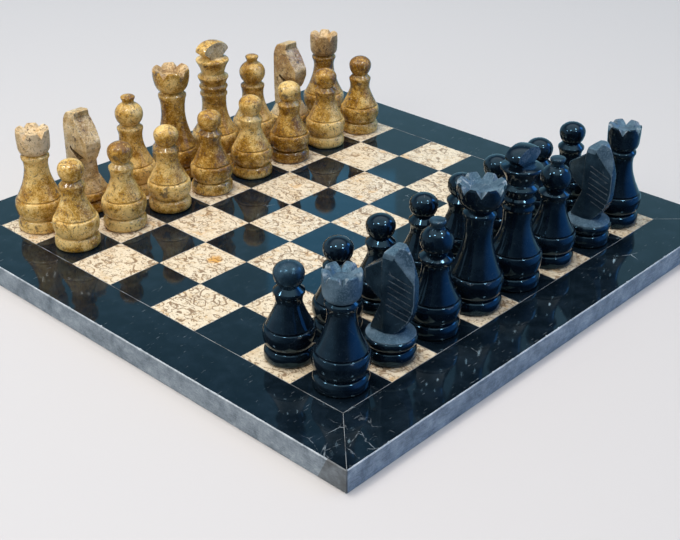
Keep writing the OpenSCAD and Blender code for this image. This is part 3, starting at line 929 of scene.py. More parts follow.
def inlay_tree() -> bpy.types.NodeTree:
    """Lays a row of tiles, each a hair out of level and cut from its own place in the block."""
    tree, sk, given = open_tree(
        "inlaid_row",
        Blank="Geometry", Count="Int", First="Vector", Pitch="Vector", Tilt="Float",
        Sink="Float", Seed="Int", Stone="Material",
    )
    get = given.outputs
    line = sk.node(
        "GeometryNodeMeshLine",
        {"Count": get["Count"], "Start Location": get["First"], "Offset": get["Pitch"]},
    ).outputs[0]

    def draw(low: Feed, high: Feed, extra: int) -> Socket:
        """A random vector for each tile between two vectors."""
        seed = sk.math("ADD", get["Seed"], float(extra))
        made = sk.node("FunctionNodeRandomValue", {"Seed": seed}, data_type="FLOAT_VECTOR")
        for socket, value in zip([s for s in made.inputs if s.enabled][:2], (low, high)):
            if isinstance(value, Socket):
                sk.tree.links.new(value, socket)
            else:
                socket.default_value = value
        return next(s for s in made.outputs if s.enabled)

    tilt = sk.joined(get["Tilt"], get["Tilt"])
    tilts = draw(sk.vector("MULTIPLY", tilt, (-1.0, -1.0, 0.0)), tilt, 0)
    sinks = draw(sk.joined(z=sk.math("MULTIPLY", get["Sink"], -1.0)), (0.0, 0.0, 0.0), 50)
    sunk = sk.node("GeometryNodeSetPosition", {"Geometry": line, "Offset": sinks}).outputs[0]
    tiles = sk.node(
        "GeometryNodeInstanceOnPoints", {"Points": sunk, "Instance": get["Blank"], "Rotation": tilts}
    ).outputs[0]
    cuts = sk.node(
        "GeometryNodeStoreNamedAttribute",
        {"Geometry": tiles, "Name": "cut_from"},
        data_type="FLOAT_VECTOR",
        domain="INSTANCE",
    )
    value = next(s for s in cuts.inputs if s.enabled and s.name == "Value")
    sk.tree.links.new(draw((-BLOCK, -BLOCK, -BLOCK), (BLOCK, BLOCK, BLOCK), 90), value)
    close_tree(sk, cuts.outputs[0], get["Stone"])
    return tree


# ---- outlines of turned work, (radius, height) in millimetres from the foot up ----


def quarter(a: Point, b: Point, turning: Turning, n: int = 9) -> Profile:
    """A quarter of an ellipse from a to b.

    Args:
        a: First point, not repeated in the result.
        b: Last point.
        turning: Whether it leaves a upright or level.
        n: Number of steps.

    Returns:
        The points after a.
    """
    out = []
    for i in range(1, n + 1):
        u = math.pi / 2 * i / n
        if turning is Turning.UPRIGHT:
            out.append((b[0] + (a[0] - b[0]) * math.cos(u), a[1] + (b[1] - a[1]) * math.sin(u)))
        else:
            out.append((a[0] + (b[0] - a[0]) * math.sin(u), b[1] - (b[1] - a[1]) * math.cos(u)))
    return out


def sweep(a: Point, b: Point, power: float, n: int = 16) -> Profile:
    """A curve from a to b that straightens up towards b."""
    steps = [i / n for i in range(1, n + 1)]
    return [(b[0] + (a[0] - b[0]) * (1 - t) ** power, a[1] + (b[1] - a[1]) * t) for t in steps]


def flare(a: Point, b: Point, power: float, n: int = 9) -> Profile:
    """A curve that leaves a upright and opens out to b."""
    return [(a[0] + (b[0] - a[0]) * (i / n) ** power, a[1] + (b[1] - a[1]) * i / n) for i in range(1, n + 1)]


def bulge(
    r: float, centre: float, below: float, above: float, low: float, high: float, n: int = 20
) -> Profile:
    """Part of an ellipse about a centre on the axis.

    Args:
        r: Largest radius.
        centre: Height of the widest place.
        below: Half height below it.
        above: Half height above it.
        low: Height where the part starts.
        high: Height where it ends.
        n: Number of steps.

    Returns:
        The points.
    """
    start = math.asin(max(-1.0, (low - centre) / below))
    end = math.asin(min(1.0, (high - centre) / above))
    turns = [start + (end - start) * i / n for i in range(n + 1)]
    return [(r * math.cos(u), centre + (below if u < 0 else above) * math.sin(u)) for u in turns]


def eased(profile: Profile, radius: float = 0.32) -> Profile:
    """Rounds each corner of an outline a little, as polishing does.

    Args:
        profile: The outline.
        radius: How far along each side the rounding reaches.

    Returns:
        The eased outline.
    """
    points = [Vector(p) for p in profile]
    out = [points[0]]
    for before, here, after in zip(points, points[1:], points[2:]):
        a, b = before - here, after - here
        if math.pi - a.angle(b, math.pi) < math.radians(16):
            out.append(here)
            continue
        start = here + a.normalized() * min(radius, a.length * 0.4)
        end = here + b.normalized() * min(radius, b.length * 0.4)
        for i in range(5):
            t = i / 4
            out.append(start * (1 - t) ** 2 + here * 2 * t * (1 - t) + end * t * t)
    out.append(points[-1])
    return [(p.x, p.y) for p in out]


# ---- the pieces ----


@dataclass
class Piece:
    """One chess piece, standing where its CAD node stands."""

    side: Side
    square: str
    turn: float = 0.0
    foot_r: float = 14.6
    rim_z: float = 16.6
    kind: str = ""
    segments: int = 96
    out_of_round: float = 0.05
    unevenness: float = 0.28
    sharp: float = 38.0

    foot_h: float = 8.6
    crease_in: float = 3.1
    foot_ease: float = 2.0
    rim_out: float = 0.5
    step_rise: float = 4.2

    @property
    def node(self) -> str:
        """The CAD node and body that this piece stands for."""
        return f"{self.side.value}_{self.kind}_{self.square}"

    @property
    def dark(self) -> bool:
        """Whether it belongs to the dark side."""
        return self.side is Side.DARK

    @property
    def seed(self) -> int:
        """A number of its own."""
        return ord(self.square[0]) * 9 + int(self.square[1])

    @property
    def height(self) -> float:
        """Its height, as the CAD has it."""
        low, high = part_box(self.node)
        return (high.z - low.z) / MM

    def disc(self) -> Profile:
        """The rounded foot disc, up to the crease."""
        r = self.foot_r
        edge, side = (r - self.foot_ease, 0), (r, self.foot_h * 0.5)
        return [
            (0, 0),
            edge,
            *quarter(edge, (r, self.foot_ease * 1.2), Turning.LEVEL, 6),
            side,
            *quarter(side, (r - self.crease_in, self.foot_h), Turning.UPRIGHT, 8),
        ]

    def foot(self) -> Profile:
        """Foot disc, crease, bowl-shaped belly, rim and the fine step line above it."""
        r = self.foot_r
        crease, rim = (r - self.crease_in, self.foot_h), (r + self.rim_out, self.rim_z)
        step = (r - 1.2, self.rim_z + self.step_rise)
        return [
            *self.disc(),
            *quarter(crease, rim, Turning.LEVEL, 9),
            *quarter(rim, step, Turning.UPRIGHT, 8),
            (step[0] - 0.9, step[1] + 0.4),
            (step[0] - 0.1, step[1] + 0.9),
        ]

    def stem(self, start: Point, neck: Point, collar: Point, throat: Point, power: float) -> Profile:
        """Skirt, neck, flared collar with a sharp edge, and the slope in to the throat.

        Args:
            start: Where the skirt starts.
            neck: The narrowest place.
            collar: The collar's edge.
            throat: Foot of the head.
            power: How fast the skirt straightens.

        Returns:
            The points after start.
        """
        return [
            *sweep(start, neck, power),
            *flare(neck, (collar[0], collar[1] - 0.9), 2.4),
            (collar[0], collar[1] + 0.5),
            throat,
        ]

    def outline(self) -> Profile:
        """The piece's half section."""
        raise NotImplementedError

    def finishes(self) -> tuple[Finish, ...]:
        """The finishes of its side, in the order of Polish."""
        if self.dark:
            return (BLACK, BLACK_HONED, BLACK_LINE, BLACK_SATIN)
        return (GOLD, GOLD_HONED, GOLD_LINE, GOLD_SATIN)

    def turned(self) -> bpy.types.Object:
        """Turns the outline into stone, in millimetres about the origin."""
        points = [(r, 0.0, z) for r, z in eased(self.outline())]
        mesh = bpy.data.meshes.new("outline")
        mesh.from_pydata(points, [(i, i + 1) for i in range(len(points) - 1)], [])
        o = add_object(f"{self.node}_stone", mesh)
        run_tree(
            o,
            TREES["lathe"],
            {
                "Segments": self.segments,
                "Out Of Round": self.out_of_round,
                "Unevenness": self.unevenness,
                "Seed": self.seed,
                "Stone": PALETTE.get(self.finishes()[Polish.MIRROR]),
            },
        )
        face_outward(o.data)
        return o

    def carve(self, o: bpy.types.Object) -> None:
        """Cuts what is not turned. A plain turned piece has nothing to cut."""

    def dull(self, points: np.ndarray, normals: np.ndarray) -> dict[Polish, np.ndarray]:
        """Which turned or carved faces are less than polished, by their middles and normals."""
        return {}

    def dress(self, o: bpy.types.Object) -> None:
        """Gives each face the finish that it was worked to.

        Args:
            o: The stone, in millimetres about the origin.
        """
        mesh = o.data
        settle_slots(mesh, self.finishes())
        slots = np.zeros(len(mesh.polygons), np.int32)
        mesh.polygons.foreach_get("material_index", slots)
        rows = {}
        for name in ("center", "normal"):
            flat = np.empty(len(mesh.polygons) * 3, np.float32)
            mesh.polygons.foreach_get(name, flat)
            rows[name] = flat.reshape(-1, 3)
        turned = slots == Polish.MIRROR
        for polish, faces in self.dull(rows["center"], rows["normal"]).items():
            slots[faces & turned] = polish
        mesh.polygons.foreach_set("material_index", slots)

    def axis(self) -> Vector:
        """The middle of its foot, where it stands on the board."""
        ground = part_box(self.node)[0].z
        ring = [v.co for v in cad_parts[self.node].data.vertices if v.co.z < ground + 0.5 * MM]
        x, y = ((min(p[k] for p in ring) + max(p[k] for p in ring)) / 2 for k in (0, 1))
        return Vector((x, y, ground))

    def build(self) -> bpy.types.Object:
        """Makes the piece and stands it on its square.

        Returns:
            The finished piece.
        """
        o = self.turned()
        self.carve(o)
        self.dress(o)
        o.data.set_sharp_from_angle(angle=math.radians(self.sharp))
        facing = math.radians(self.turn + (180 if self.dark else 0))
        turned = Matrix.Rotation(facing, 4, "Z") @ Matrix.Scale(MM, 4)
        o.data.transform(Matrix.Translation(self.axis()) @ turned)
        o.data.update()
        o.name = f"{self.node}_stone"
        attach(o, self.node)
        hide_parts(self.node)
        return o


@dataclass
class Pawn(Piece):
    """A pawn: skirt, collar and a flattened ball."""

    kind: str = "pawn"
    neck_r: float = 7.4

    def outline(self) -> Profile:
        """The pawn's half section."""
        low, h = self.foot(), self.height
        head_r, collar_r = (8.8, 8.9) if self.dark else (8.4, 8.3)
        head = bulge(head_r, h - 6.6, 10, 6.6, h - 14.2, h, 24)
        stem = self.stem(low[-1], (self.neck_r, h - 24.5), (collar_r, h - 17.6), head[0], 1.25)
        return [*low, *stem, *head]

    def dull(self, points: np.ndarray, normals: np.ndarray) -> dict[Polish, np.ndarray]:
        """The head of one dark pawn has lost some of its polish."""
        return {Polish.SATIN: (points[:, 2] > self.height - 15) & (self.square == "h7")}


@dataclass
class Crowned(Piece):
    """A piece with V cuts round a hollow rim."""

    crown_r: float = 10.8
    cuts: int = 6
    depth: float = 4.6
    half_w: float = 3.3
    notch_lean: float = 20.0
    notch_slip: float = 0.045

    def carve(self, o: bpy.types.Object) -> None:
        """Cuts the notches, each running out and down through the wall with flared sides."""
        w, d = self.half_w, self.depth
        right = [(0, 0), (w * 0.5, d * 0.55), (w * 0.8, d * 0.8), (w * 1.5, d * 1.25), (w * 1.5, d * 3)]
        outline = [*right, *[(-x, y) for x, y in reversed(right[1:])]]
        cutter = prism(outline, Facing.TOP, -self.crown_r * 0.7, self.crown_r * 0.3)
        stand = Matrix(((0, 0, 1, 0), (1, 0, 0, 0), (0, 1, 0, 0), (0, 0, 0, 1)))
        lean = Matrix.Rotation(math.radians(self.notch_lean), 4, "Y")
        cutter.data.transform(Matrix.Translation((self.crown_r, 0, self.height - d)) @ lean @ stand)
        honed = PALETTE.get(self.finishes()[Polish.HONED])
        values = {"Count": self.cuts, "Slip": self.notch_slip, "Seed": self.seed, "Stone": honed}
        run_tree(cutter, TREES["notches"], values)
        shape_with(o, "BOOLEAN", object=cutter, solver="EXACT", use_self=True, material_mode="TRANSFER")
        drop(cutter)


@dataclass
class Rook(Crowned):
    """A rook: a short tower, hollow on top, with six V cuts."""

    kind: str = "rook"
    foot_r: float = 15.8
    rim_z: float = 17.6
    neck_r: float = 7.9
    collar_r: float = 9.3

    def outline(self) -> Profile:
        """The rook's half section."""
        low, h, r = self.foot(), self.height, self.crown_r
        throat, shoulder = (r - 3.6, h - 16.6), (r - 0.3, h - 11.6)
        return [
            *low,
            *self.stem(low[-1], (self.neck_r, h - 25.6), (self.collar_r, h - 18.9), throat, 1.75),
            *quarter(throat, shoulder, Turning.LEVEL),
            (r, h - 6),
            (r, h - 0.6),
            (r - 0.6, h),
            (r - 2.6, h - 0.4),
            (r * 0.42, h - 3.6),
            (0, h - 3.2),
        ]

    def dull(self, points: np.ndarray, normals: np.ndarray) -> dict[Polish, np.ndarray]:
        """The tower is left honed, but for one dark rook that is honed in its hollow only."""
        r = np.hypot(points[:, 0], points[:, 1])
        hollow = (points[:, 2] > self.height - 4.5) & (r < self.crown_r - 1)
        return {Polish.HONED: hollow if self.square == "a8" else points[:, 2] > self.height - 16.4}


@dataclass
class Bishop(Piece):
    """A bishop: a ball with a button on a tall neck."""

    kind: str = "bishop"
    foot_r: float = 15.6
    rim_z: float = 17.2
    neck_r: float = 8.1
    ball_r: float = 9.7
    button_r: float = 4.95

    def outline(self) -> Profile:
        """The bishop's half section."""
        low, h, b = self.foot(), self.height, self.button_r
        ball = bulge(self.ball_r, h - 13.2, 9.75, 8.6, h - 20.8, h - 5.6, 26)
        return [
            *low,
            *self.stem(low[-1], (self.neck_r, h - 30), (9.9 if self.dark else 9.0, h - 23.6), ball[0], 1.8),
            *ball,
            (b - 0.95, h - 4.4),
            (b - 0.75, h - 3.3),
            (b - 0.1, h - 2),
            (b, h - 1.2),
            (b - 0.5, h - 0.5),
            (b - 1.6, h - 0.1),
            (0, h),
        ]

    def dull(self, points: np.ndarray, normals: np.ndarray) -> dict[Polish, np.ndarray]:
        """The button of a dark bishop is left satin."""
        return {Polish.SATIN: (points[:, 2] > self.height - 4.6) & self.dark}


@dataclass
class Queen(Crowned):
    """A queen: an open bowl of a crown with V cuts."""

    kind: str = "queen"
    foot_r: float = 16.5
    rim_z: float = 18.4
    neck_r: float = 8.5
    collar_r: float = 10.0
    depth: float = 5.0
    half_w: float = 3.7

    def __post_init__(self) -> None:
        """The dark queen's crown is wider, with more cuts."""
        self.crown_r, self.cuts = (14.4, 8) if self.dark else (13.1, 6)

    def outline(self) -> Profile:
        """The queen's half section."""
        low, h, r = self.foot(), self.height, self.crown_r
        throat = (self.collar_r - 2.7, h - 16.6)
        return [
            *low,
            *self.stem(low[-1], (self.neck_r, h - 31.6), (self.collar_r, h - 19.6), throat, 1.8),
            *quarter(throat, (r, h - 3.4), Turning.LEVEL, 14),
            (r, h - 1.2),
            (r - 0.7, h),
            (r - 2.2, h - 0.6),
            (r * 0.45, h - 4.6),
            (2.4, h - 4.8),
            (0, h - 3.9),
        ]

    def dull(self, points: np.ndarray, normals: np.ndarray) -> dict[Polish, np.ndarray]:
        """The inside of the crown is left honed."""
        r = np.hypot(points[:, 0], points[:, 1])
        return {Polish.HONED: (points[:, 2] > self.height - 5.5) & (r < self.crown_r - 1.2)}


@dataclass
class King(Piece):
    """A king: three rings, a cup, and a domed finial sawn flat in front and behind."""

    kind: str = "king"
    foot_r: float = 16.8
    rim_z: float = 18.8
    neck_r: float = 8.9
    finial_r: float = 12.2
    finial_t: float = 10.0

    def outline(self) -> Profile:
        """The king's half section."""
        low, h = self.foot(), self.height
        cup, dome = 12.7 if self.dark else 11.9, h - 6.7
        rings = [(10.0, h - 39.2, 9.2, 1.9), (10.4, h - 33.6, 9.0, 1.9), (11.2, h - 26.4, 8.4, 2.6)]
        lines = [
            p
            for r, z, groove, rise in rings
            for p in ((r - 0.9, z - 2.1), (r, z - 0.5), (r, z + 0.4), (groove, z + rise))
        ]
        return [
            *low,
            *sweep(low[-1], (self.neck_r, h - 45.5), 2.3),
            *lines,
            *flare((8.4, h - 23.6), (cup, h - 14.6), 1.5),
            (cup, h - 13.5),
            (cup - 0.6, h - 12.9),
            (7.7, h - 11.5),
            (7.9, h - 10.9),
            *flare((7.9, h - 10.9), (self.finial_r, dome - 0.3), 1.2, 6),
            *bulge(self.finial_r, dome, 6.7, 6.7, dome, h, 18),
        ]

    def carve(self, o: bpy.types.Object) -> None:
        """Saws the finial flat, and the cup's top with it."""
        half, size, low = self.finial_t / 2, 20.0, self.height - 12
        for start in (half, -half - size):
            end = start + size
            outline = [(-size, start), (size, start), (size, end), (-size, end)]
            block = prism(outline, Facing.TOP, low, low + size)
            block.data.materials.append(PALETTE.get(self.finishes()[Polish.SATIN]))
            cut(o, block)


@dataclass
class Knight(Piece):
    """A knight: a turned foot with a hand-carved horse's head."""

    kind: str = "knight"
    foot_r: float = 14.9
    voxel: float = 0.42
    drawn_h: float = 71.5
    slot: float = 1.7
    head_from: float = 15.2
    throat_at: Point = (-2.6, 24.6)
    throat_dip: float = 38.0

    def outline(self) -> Profile:
        """The foot's half section."""
        r = self.foot_r
        crease, band = (r - self.crease_in, self.foot_h), (r + self.rim_out, 13.2)
        top_r, shoulder, top = (8.4, 15.6, 18.2) if self.dark else (10.6, 15.9, 22.6)
        return [
            *self.disc(),
            *quarter(crease, band, Turning.LEVEL, 9),
            (r + self.rim_out - 0.3, 14.4),
            (r - 0.5, 15.1),
            (r - 1.1, 15.3),
            (r - 0.8, shoulder),
            (top_r, top),
            (0, top),
        ]

    def down(self, points: Profile) -> Profile:
        """Side outline points drawn as (Y, distance down from the top)."""
        h = self.height
        return [(y, h - drop * h / self.drawn_h) for y, drop in points]

    def sawn(self, side: Profile, top: Profile, front: Profile = ()) -> bpy.types.Object:
        """A block sawn to its outlines from the side, from above and, where there is one, from the front."""
        head = prism(side, Facing.SIDE, -20, 20)
        cut(head, prism(both_sides(top), Facing.TOP, 0, 100), "INTERSECT")
        if front:
            cut(head, prism(both_sides(front), Facing.FRONT, -30, 30), "INTERSECT")
        return head

    def throat(self, deep: float) -> bpy.types.Object:
        """A slab that runs from the throat forward and down.

        Args:
            deep: Its thickness, counted up from the underside of the saw cut.

        Returns:
            The slab, in millimetres.
        """
        low, high = -self.slot, deep - self.slot
        made = prism([(0, low), (60, low), (60, high), (0, high)], Facing.SIDE, -20, 20)
        (y, z), = self.down([self.throat_at])
        dip = Matrix.Rotation(math.radians(-self.throat_dip), 4, "X")
        made.data.transform(Matrix.Translation((0, y, z)) @ dip)
        return made

    def from_throat(self, points: np.ndarray) -> tuple[np.ndarray, np.ndarray]:
        """How far points lie along the throat's saw cut, and up across it, from where it starts.

        Args:
            points: Points in millimetres.

        Returns:
            The two distances of each point.
        """
        (y, z), = self.down([self.throat_at])
        forward, up = points[:, 1] - y, points[:, 2] - z
        dip = math.radians(self.throat_dip)
        return forward * math.cos(dip) - up * math.sin(dip), forward * math.sin(dip) + up * math.cos(dip)

    def light_head(self, h: float, w: float = 7.6) -> bpy.types.Object:
        """The light horse's head: a blunt block with a long flat nose and a slot behind the jaw.

        Args:
            h: Height of the piece.
            w: Half the head's thickness.

        Returns:
            The head, in millimetres.
        """
        drawn = self.down(
            [
                (-9.4, 41.5), (-10.3, 31.5), (-10.8, 23.5), (-10.5, 16.5), (-9.8, 9.6), (-8.8, 5.0),
                (-7.2, 2.2), (-4.9, 1.0), (1.6, 0), (2.8, 0.4), (2.4, 4.6), (3.0, 5.6), (12.4, 19.2),
                (13.0, 20.8), (12.8, 25.4), (12.2, 25.9), (12.4, 26.4), (11.4, 31.5), (10.0, 34.2),
                (4.6, 31.4), (4.8, 36), (5.4, 43.5),
            ]
        )
        head = self.sawn(
            [(-9.0, 20), *drawn, (6.8, 20)],
            [(w * 0.62, -12), (w * 0.94, -9.6), (w, -6), (w, 4), (w - 0.8, 9.4), (6.2, 12.6), (5.8, 13.6)],
            [
                (w + 1.6, 18), (w + 1.4, 26), (w + 0.5, h - 34), (w + 0.3, h - 20), (w - 0.9, h - 6),
                (w - 2.2, h + 1),
            ],
        )
        cut(head, self.throat(self.slot))
        cheek = beyond((6.6, 12.4, h - 24.5), (0.933, 0.12, -0.341))
        cut_both(head, cut(cheek, self.throat(40), "INTERSECT"))
        return head

    def dark_head(self, h: float, w: float = 7.9) -> bpy.types.Object:
        """The dark horse's head: a long bowed wedge of a neck with a narrower muzzle set forward.

        Args:
            h: Height of the piece.
            w: Half the neck's thickness.

        Returns:
            The head, in millimetres.
        """
        nape = self.down(
            [
                (-14.6, 39), (-15.6, 32), (-15.6, 24), (-14.8, 15), (-13.2, 8), (-10.4, 2.8),
                (-7.6, 0.5), (-4, 0), (-0.6, 0.9), (2.0, 3.4), (2.8, 6), (2.8, 34.5),
            ]
        )
        neck = self.sawn(
            [(-3.5, 17), (-7.8, 20), (-12.2, 26), *nape, (6, 29), (9.6, 20), (10, 17)],
            [(1.0, -16), (2.6, -15.2), (w - 0.2, -1.2), (w, 0.5), (w - 0.4, 2.8), (w - 1.8, 10.4)],
            [(w, 16), (w, h - 14), (w - 1.6, h - 4), (w - 4.4, h - 0.4), (w - 6, h + 1)],
        )
        cut_both(neck, beyond((w, -3.2, h - 5.6), self.bevel))
        muzzle = self.sawn(
            self.down(
                [
                    (0, 7), (3, 8.6), (15.8, 18.4), (17.0, 20.2), (16.4, 24.4), (14.4, 27.2),
                    (9.6, 31), (3.4, 34.4), (0, 34.4),
                ]
            ),
            [(w - 1.9, 0), (w - 1.9, 4), (3.8, 15), (2.6, 17.2)],
        )
        return cut(neck, muzzle, "UNION")

    @property
    def bevel(self) -> Spot:
        """The way out of the sawn bevel behind a dark horse's ear."""
        return (0.722, -0.636, 0.271)

    def lines(self, o: bpy.types.Object) -> None:
        """Saws the mane's lines into both sides: long ones on a dark horse, short nicks on a light one."""
        h = self.height
        if self.dark:
            at, size, turn, count, pitch = (5.2, -7.6, 29.5), (0.9, 14.5, 0.42), (28, -20), 7, (h - 44) / 7
        else:
            at, size, turn, count, pitch = (7.1, -9.9, 31.0), (0.8, 6.0, 0.4), (32, -38), 19, (h - 40) / 19
        x, y, z = (c / 2 for c in size)
        for way in (-1, 1):
            tool = prism([(-x, -y), (x, -y), (x, y), (-x, y)], Facing.TOP, -z, z)
            run_tree(
                tool,
                TREES["lines"],
                {
                    "Count": count,
                    "First": (way * at[0], at[1], at[2]),
                    "Pitch": (0.0, 0.0, pitch),
                    "Turn": (math.radians(turn[0]), 0.0, way * math.radians(turn[1])),
                    "Slip": 0.22,
                    "Seed": self.seed + way,
                    "Stone": PALETTE.get(self.finishes()[Polish.SAWN]),
                },
            )
            cut(o, tool)

    def carve(self, o: bpy.types.Object) -> None:
        """Carves the head, softens it by hand, joins it to the foot and saws the mane."""
        h = self.height
        head = self.dark_head(h) if self.dark else self.light_head(h)
        shape_with(head, "REMESH", mode="VOXEL", voxel_size=self.voxel, use_smooth_shade=True)
        shape_with(head, "SMOOTH", factor=0.5, iterations=2)
        cut(o, head, "UNION")
        self.lines(o)

    def dull(self, points: np.ndarray, normals: np.ndarray) -> dict[Polish, np.ndarray]:
        """The head is satin; a dark one is honed on its bevels, its top and the foot's cone."""
        above = points[:, 2] > self.head_from
        if not self.dark:
            along, across = self.from_throat(points)
            close = 0.25
            slot = (along > -close) & (across > -self.slot - close) & (across < close)
            return {Polish.SATIN: above, Polish.SAWN: above & slot}
        out = np.array(self.bevel)
        bevelled = np.maximum(normals @ out, normals @ (out * (-1, 1, 1))) > 0.9
        top = (points[:, 2] > self.height - 7) & (normals[:, 2] > 0.1)
        return {Polish.SATIN: above, Polish.HONED: above & (bevelled | top | (points[:, 2] < 18.4))}


# ---- the board ----


@dataclass
class Board:
    """The inlaid board: slab, sixteen rows of tiles, four border strips and the seams."""

    ease: float = 0.12
    tilt: float = 0.0009
    sink: float = 0.02
    chamfer: float = 0.5
    seam: float = 0.25
    stations: int = 420
    tile_sharp: float = 20.0
    border_sharp: float = 7.0
    chip_from: float = 0.42
    chip_gain: float = 3.2
    chip_wave: float = 0.33
    wear_wave: float = 0.11
    wear_ripple: float = 0.5
    in_row: int = 4

    def tile_blank(self, side: float, thick: float) -> bpy.types.Object:
        """One tile with its upper edges eased, its top at the origin.

        Args:
            side: Length of its side.
            thick: Its thickness.

        Returns:
            The tile, in metres.
        """
        bm = bmesh.new()
        size = Matrix.Diagonal((side, side, thick, 1))
        bmesh.ops.create_cube(bm, size=1.0, matrix=Matrix.Translation((0, 0, -thick / 2)) @ size)
        edges = [e for e in bm.edges if all(v.co.z > -thick / 4 for v in e.verts)]
        bmesh.ops.bevel(bm, geom=edges, offset=self.ease * MM, segments=2, profile=0.5, affect="EDGES")
        mesh = bpy.data.meshes.new("tile_blank")
        bm.to_mesh(mesh)
        bm.free()
        return add_object("tile_blank", mesh)

    def tiles(self, side: Side, rank: int) -> bpy.types.Object:
        """Lays the four tiles of one colour on one rank.

        Args:
            side: Which colour.
            rank: Which rank, from 1.

        Returns:
            The row of tiles.
        """
        node = f"{side.value}_tiles_rank_{rank}"
        low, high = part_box(node)
        width = high.y - low.y
        o = self.tile_blank(width, high.z - low.z)
        o.name = f"{node}_stone"
        run_tree(
            o,
            TREES["inlay"],
            {
                "Count": self.in_row,
                "First": (low.x + width / 2, low.y + width / 2, high.z),
                "Pitch": ((high.x - low.x - width) / (self.in_row - 1), 0.0, 0.0),
                "Tilt": self.tilt,
                "Sink": self.sink * MM,
                "Seed": rank * 2 + (side is Side.DARK),
                "Stone": PALETTE.get(BLACK_TILE if side is Side.DARK else CREAM),
            },
        )
        settle_slots(o.data, [BLACK_TILE if side is Side.DARK else CREAM])
        o.data.set_sharp_from_angle(angle=math.radians(self.tile_sharp))
        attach(o, "board")
        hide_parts(node)
        return o

    def border(self, name: str, turn: int, seed: int) -> bpy.types.Object:
        """One mitred border strip with a sawn side and a chipped upper arris.

        Args:
            name: The CAD node.
            turn: Quarter turns from the light side.
            seed: Where its chips come from.

        Returns:
            The strip.
        """
        low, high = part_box(name)
        outer = max(abs(low.x), abs(low.y), abs(high.x), abs(high.y)) / MM
        across = min(high.x - low.x, high.y - low.y) / MM
        inner, thick, reach = outer - across, high.z / MM, self.seam / 2 * math.sqrt(2)
        ease = self.ease
        verts, faces, slots = [], [], []
        for i in range(self.stations + 1):
            t = 2 * i / self.stations - 1
            along = t * outer
            wear = noise.noise(Vector((along * self.wear_wave, seed * 7.0, 0)))
            wear += 0.6 * noise.noise(Vector((along * self.wear_ripple, seed * 3.0, 5)))
            bite = noise.noise(Vector((along * self.chip_wave, seed * 5.0, 9)))
            chip = max(0.0, bite - self.chip_from) * self.chip_gain
            c = self.chamfer * (1 + 0.35 * wear) + chip
            drop_z = self.chamfer * (1 + 0.3 * wear) + chip * 0.7
            section = [
                (-outer, 0.0), (-outer, thick - drop_z), (-outer + 0.12, thick - drop_z + 0.3 * drop_z),
                (-outer + c * 0.8, thick - 0.08), (-outer + c + 0.15, thick), (-inner - ease, thick),
                (-inner - ease * 0.3, thick - ease * 0.3), (-inner, thick - ease), (-inner, 0.0),
            ]
            verts += [(t * (abs(y) - reach), y, z) for y, z in section]
        # From the outer side over the chipped arris and the top to the underside.
        worked = [Strip.SAWN, *[Strip.ARRIS] * 3, *[Strip.POLISHED] * 3, *[Strip.SAWN] * 2]
        n = len(worked)
        for i in range(self.stations):
            for k, work in enumerate(worked):
                a, b = i * n + k, i * n + (k + 1) % n
                faces.append((a, b, b + n, a + n))
                slots.append(work)
        faces += [tuple(reversed(range(n))), tuple(self.stations * n + k for k in range(n))]
        slots += [Strip.SAWN] * 2
        mesh = bpy.data.meshes.new(f"{name}_stone")
        mesh.from_pydata(verts, [], faces)
        for finish in (BLACK_BORDER, SAWN, ARRIS):
            mesh.materials.append(PALETTE.get(finish))
        mesh.polygons.foreach_set("material_index", slots)
        face_outward(mesh)
        mesh.transform(Matrix.Rotation(turn * math.pi / 2, 4, "Z") @ Matrix.Scale(MM, 4))
        cuts = mesh.attributes.new("cut_from", "FLOAT_VECTOR", "POINT")
        cuts.data.foreach_set("vector", np.tile([37.0 * seed, -61.0 * seed, 0.0], len(mesh.vertices)))
        mesh.shade_smooth()
        mesh.set_sharp_from_angle(angle=math.radians(self.border_sharp))
        o = add_object(f"{name}_stone", mesh)
        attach(o, "board")
        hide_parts(name)
        return o

    def build(self) -> list[bpy.types.Object]:
        """Makes the whole board.

        Returns:
            Its new pieces.
        """
        made = [self.tiles(side, rank) for side in Side for rank in range(1, 9)]
        names = ("light_side", "h_side", "dark_side", "a_side")
        made += [self.border(f"board_border_{n}", i, i + 1) for i, n in enumerate(names)]
        for node, finish in (("board_slab", SAWN), ("joint_resin", RESIN)):
            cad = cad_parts[node]
            cad.data.materials.clear()
            cad.data.materials.append(PALETTE.get(finish))
        return made


# ---- floor, light and camera ----


@dataclass(frozen=True)
class Lamp:
    """A square soft light: where it hangs, its side and power, and what it does."""

    name: str
    at: Spot
    size: float
    watts: float
    colour: Colour
    fills: bool = True
    shines: bool = True


SPOTS = ((0.6, 0.15, 1.2), (-0.25, 0.55, 1.3), (0.95, -0.45, 1.0), (0.1, 1.05, 1.1))
# Lamps that fill light matt faces; lamps that shine show in polished ones.
LAMPS = (
    Lamp("overhead", (0.15, -0.25, 1.5), 0.4, 11.5, (1.0, 0.98, 0.96), shines=False),
    Lamp("fill", (1.3, 0.1, 1.1), 1.2, 10.0, (1.0, 0.96, 0.91), shines=False),
    *(Lamp(f"spot_{i + 1}", at, 0.13, 3.0, (0.95, 0.98, 1.0), fills=False) for i, at in enumerate(SPOTS)),
    Lamp("window", (-1.3, 0.65, 0.95), 0.5, 3.5, (0.08, 0.40, 1.0), fills=False),
    Lamp("pane", (-0.96, -0.9, 0.7), 0.24, 0.09, (0.05, 0.5, 1.0), fills=False),
)


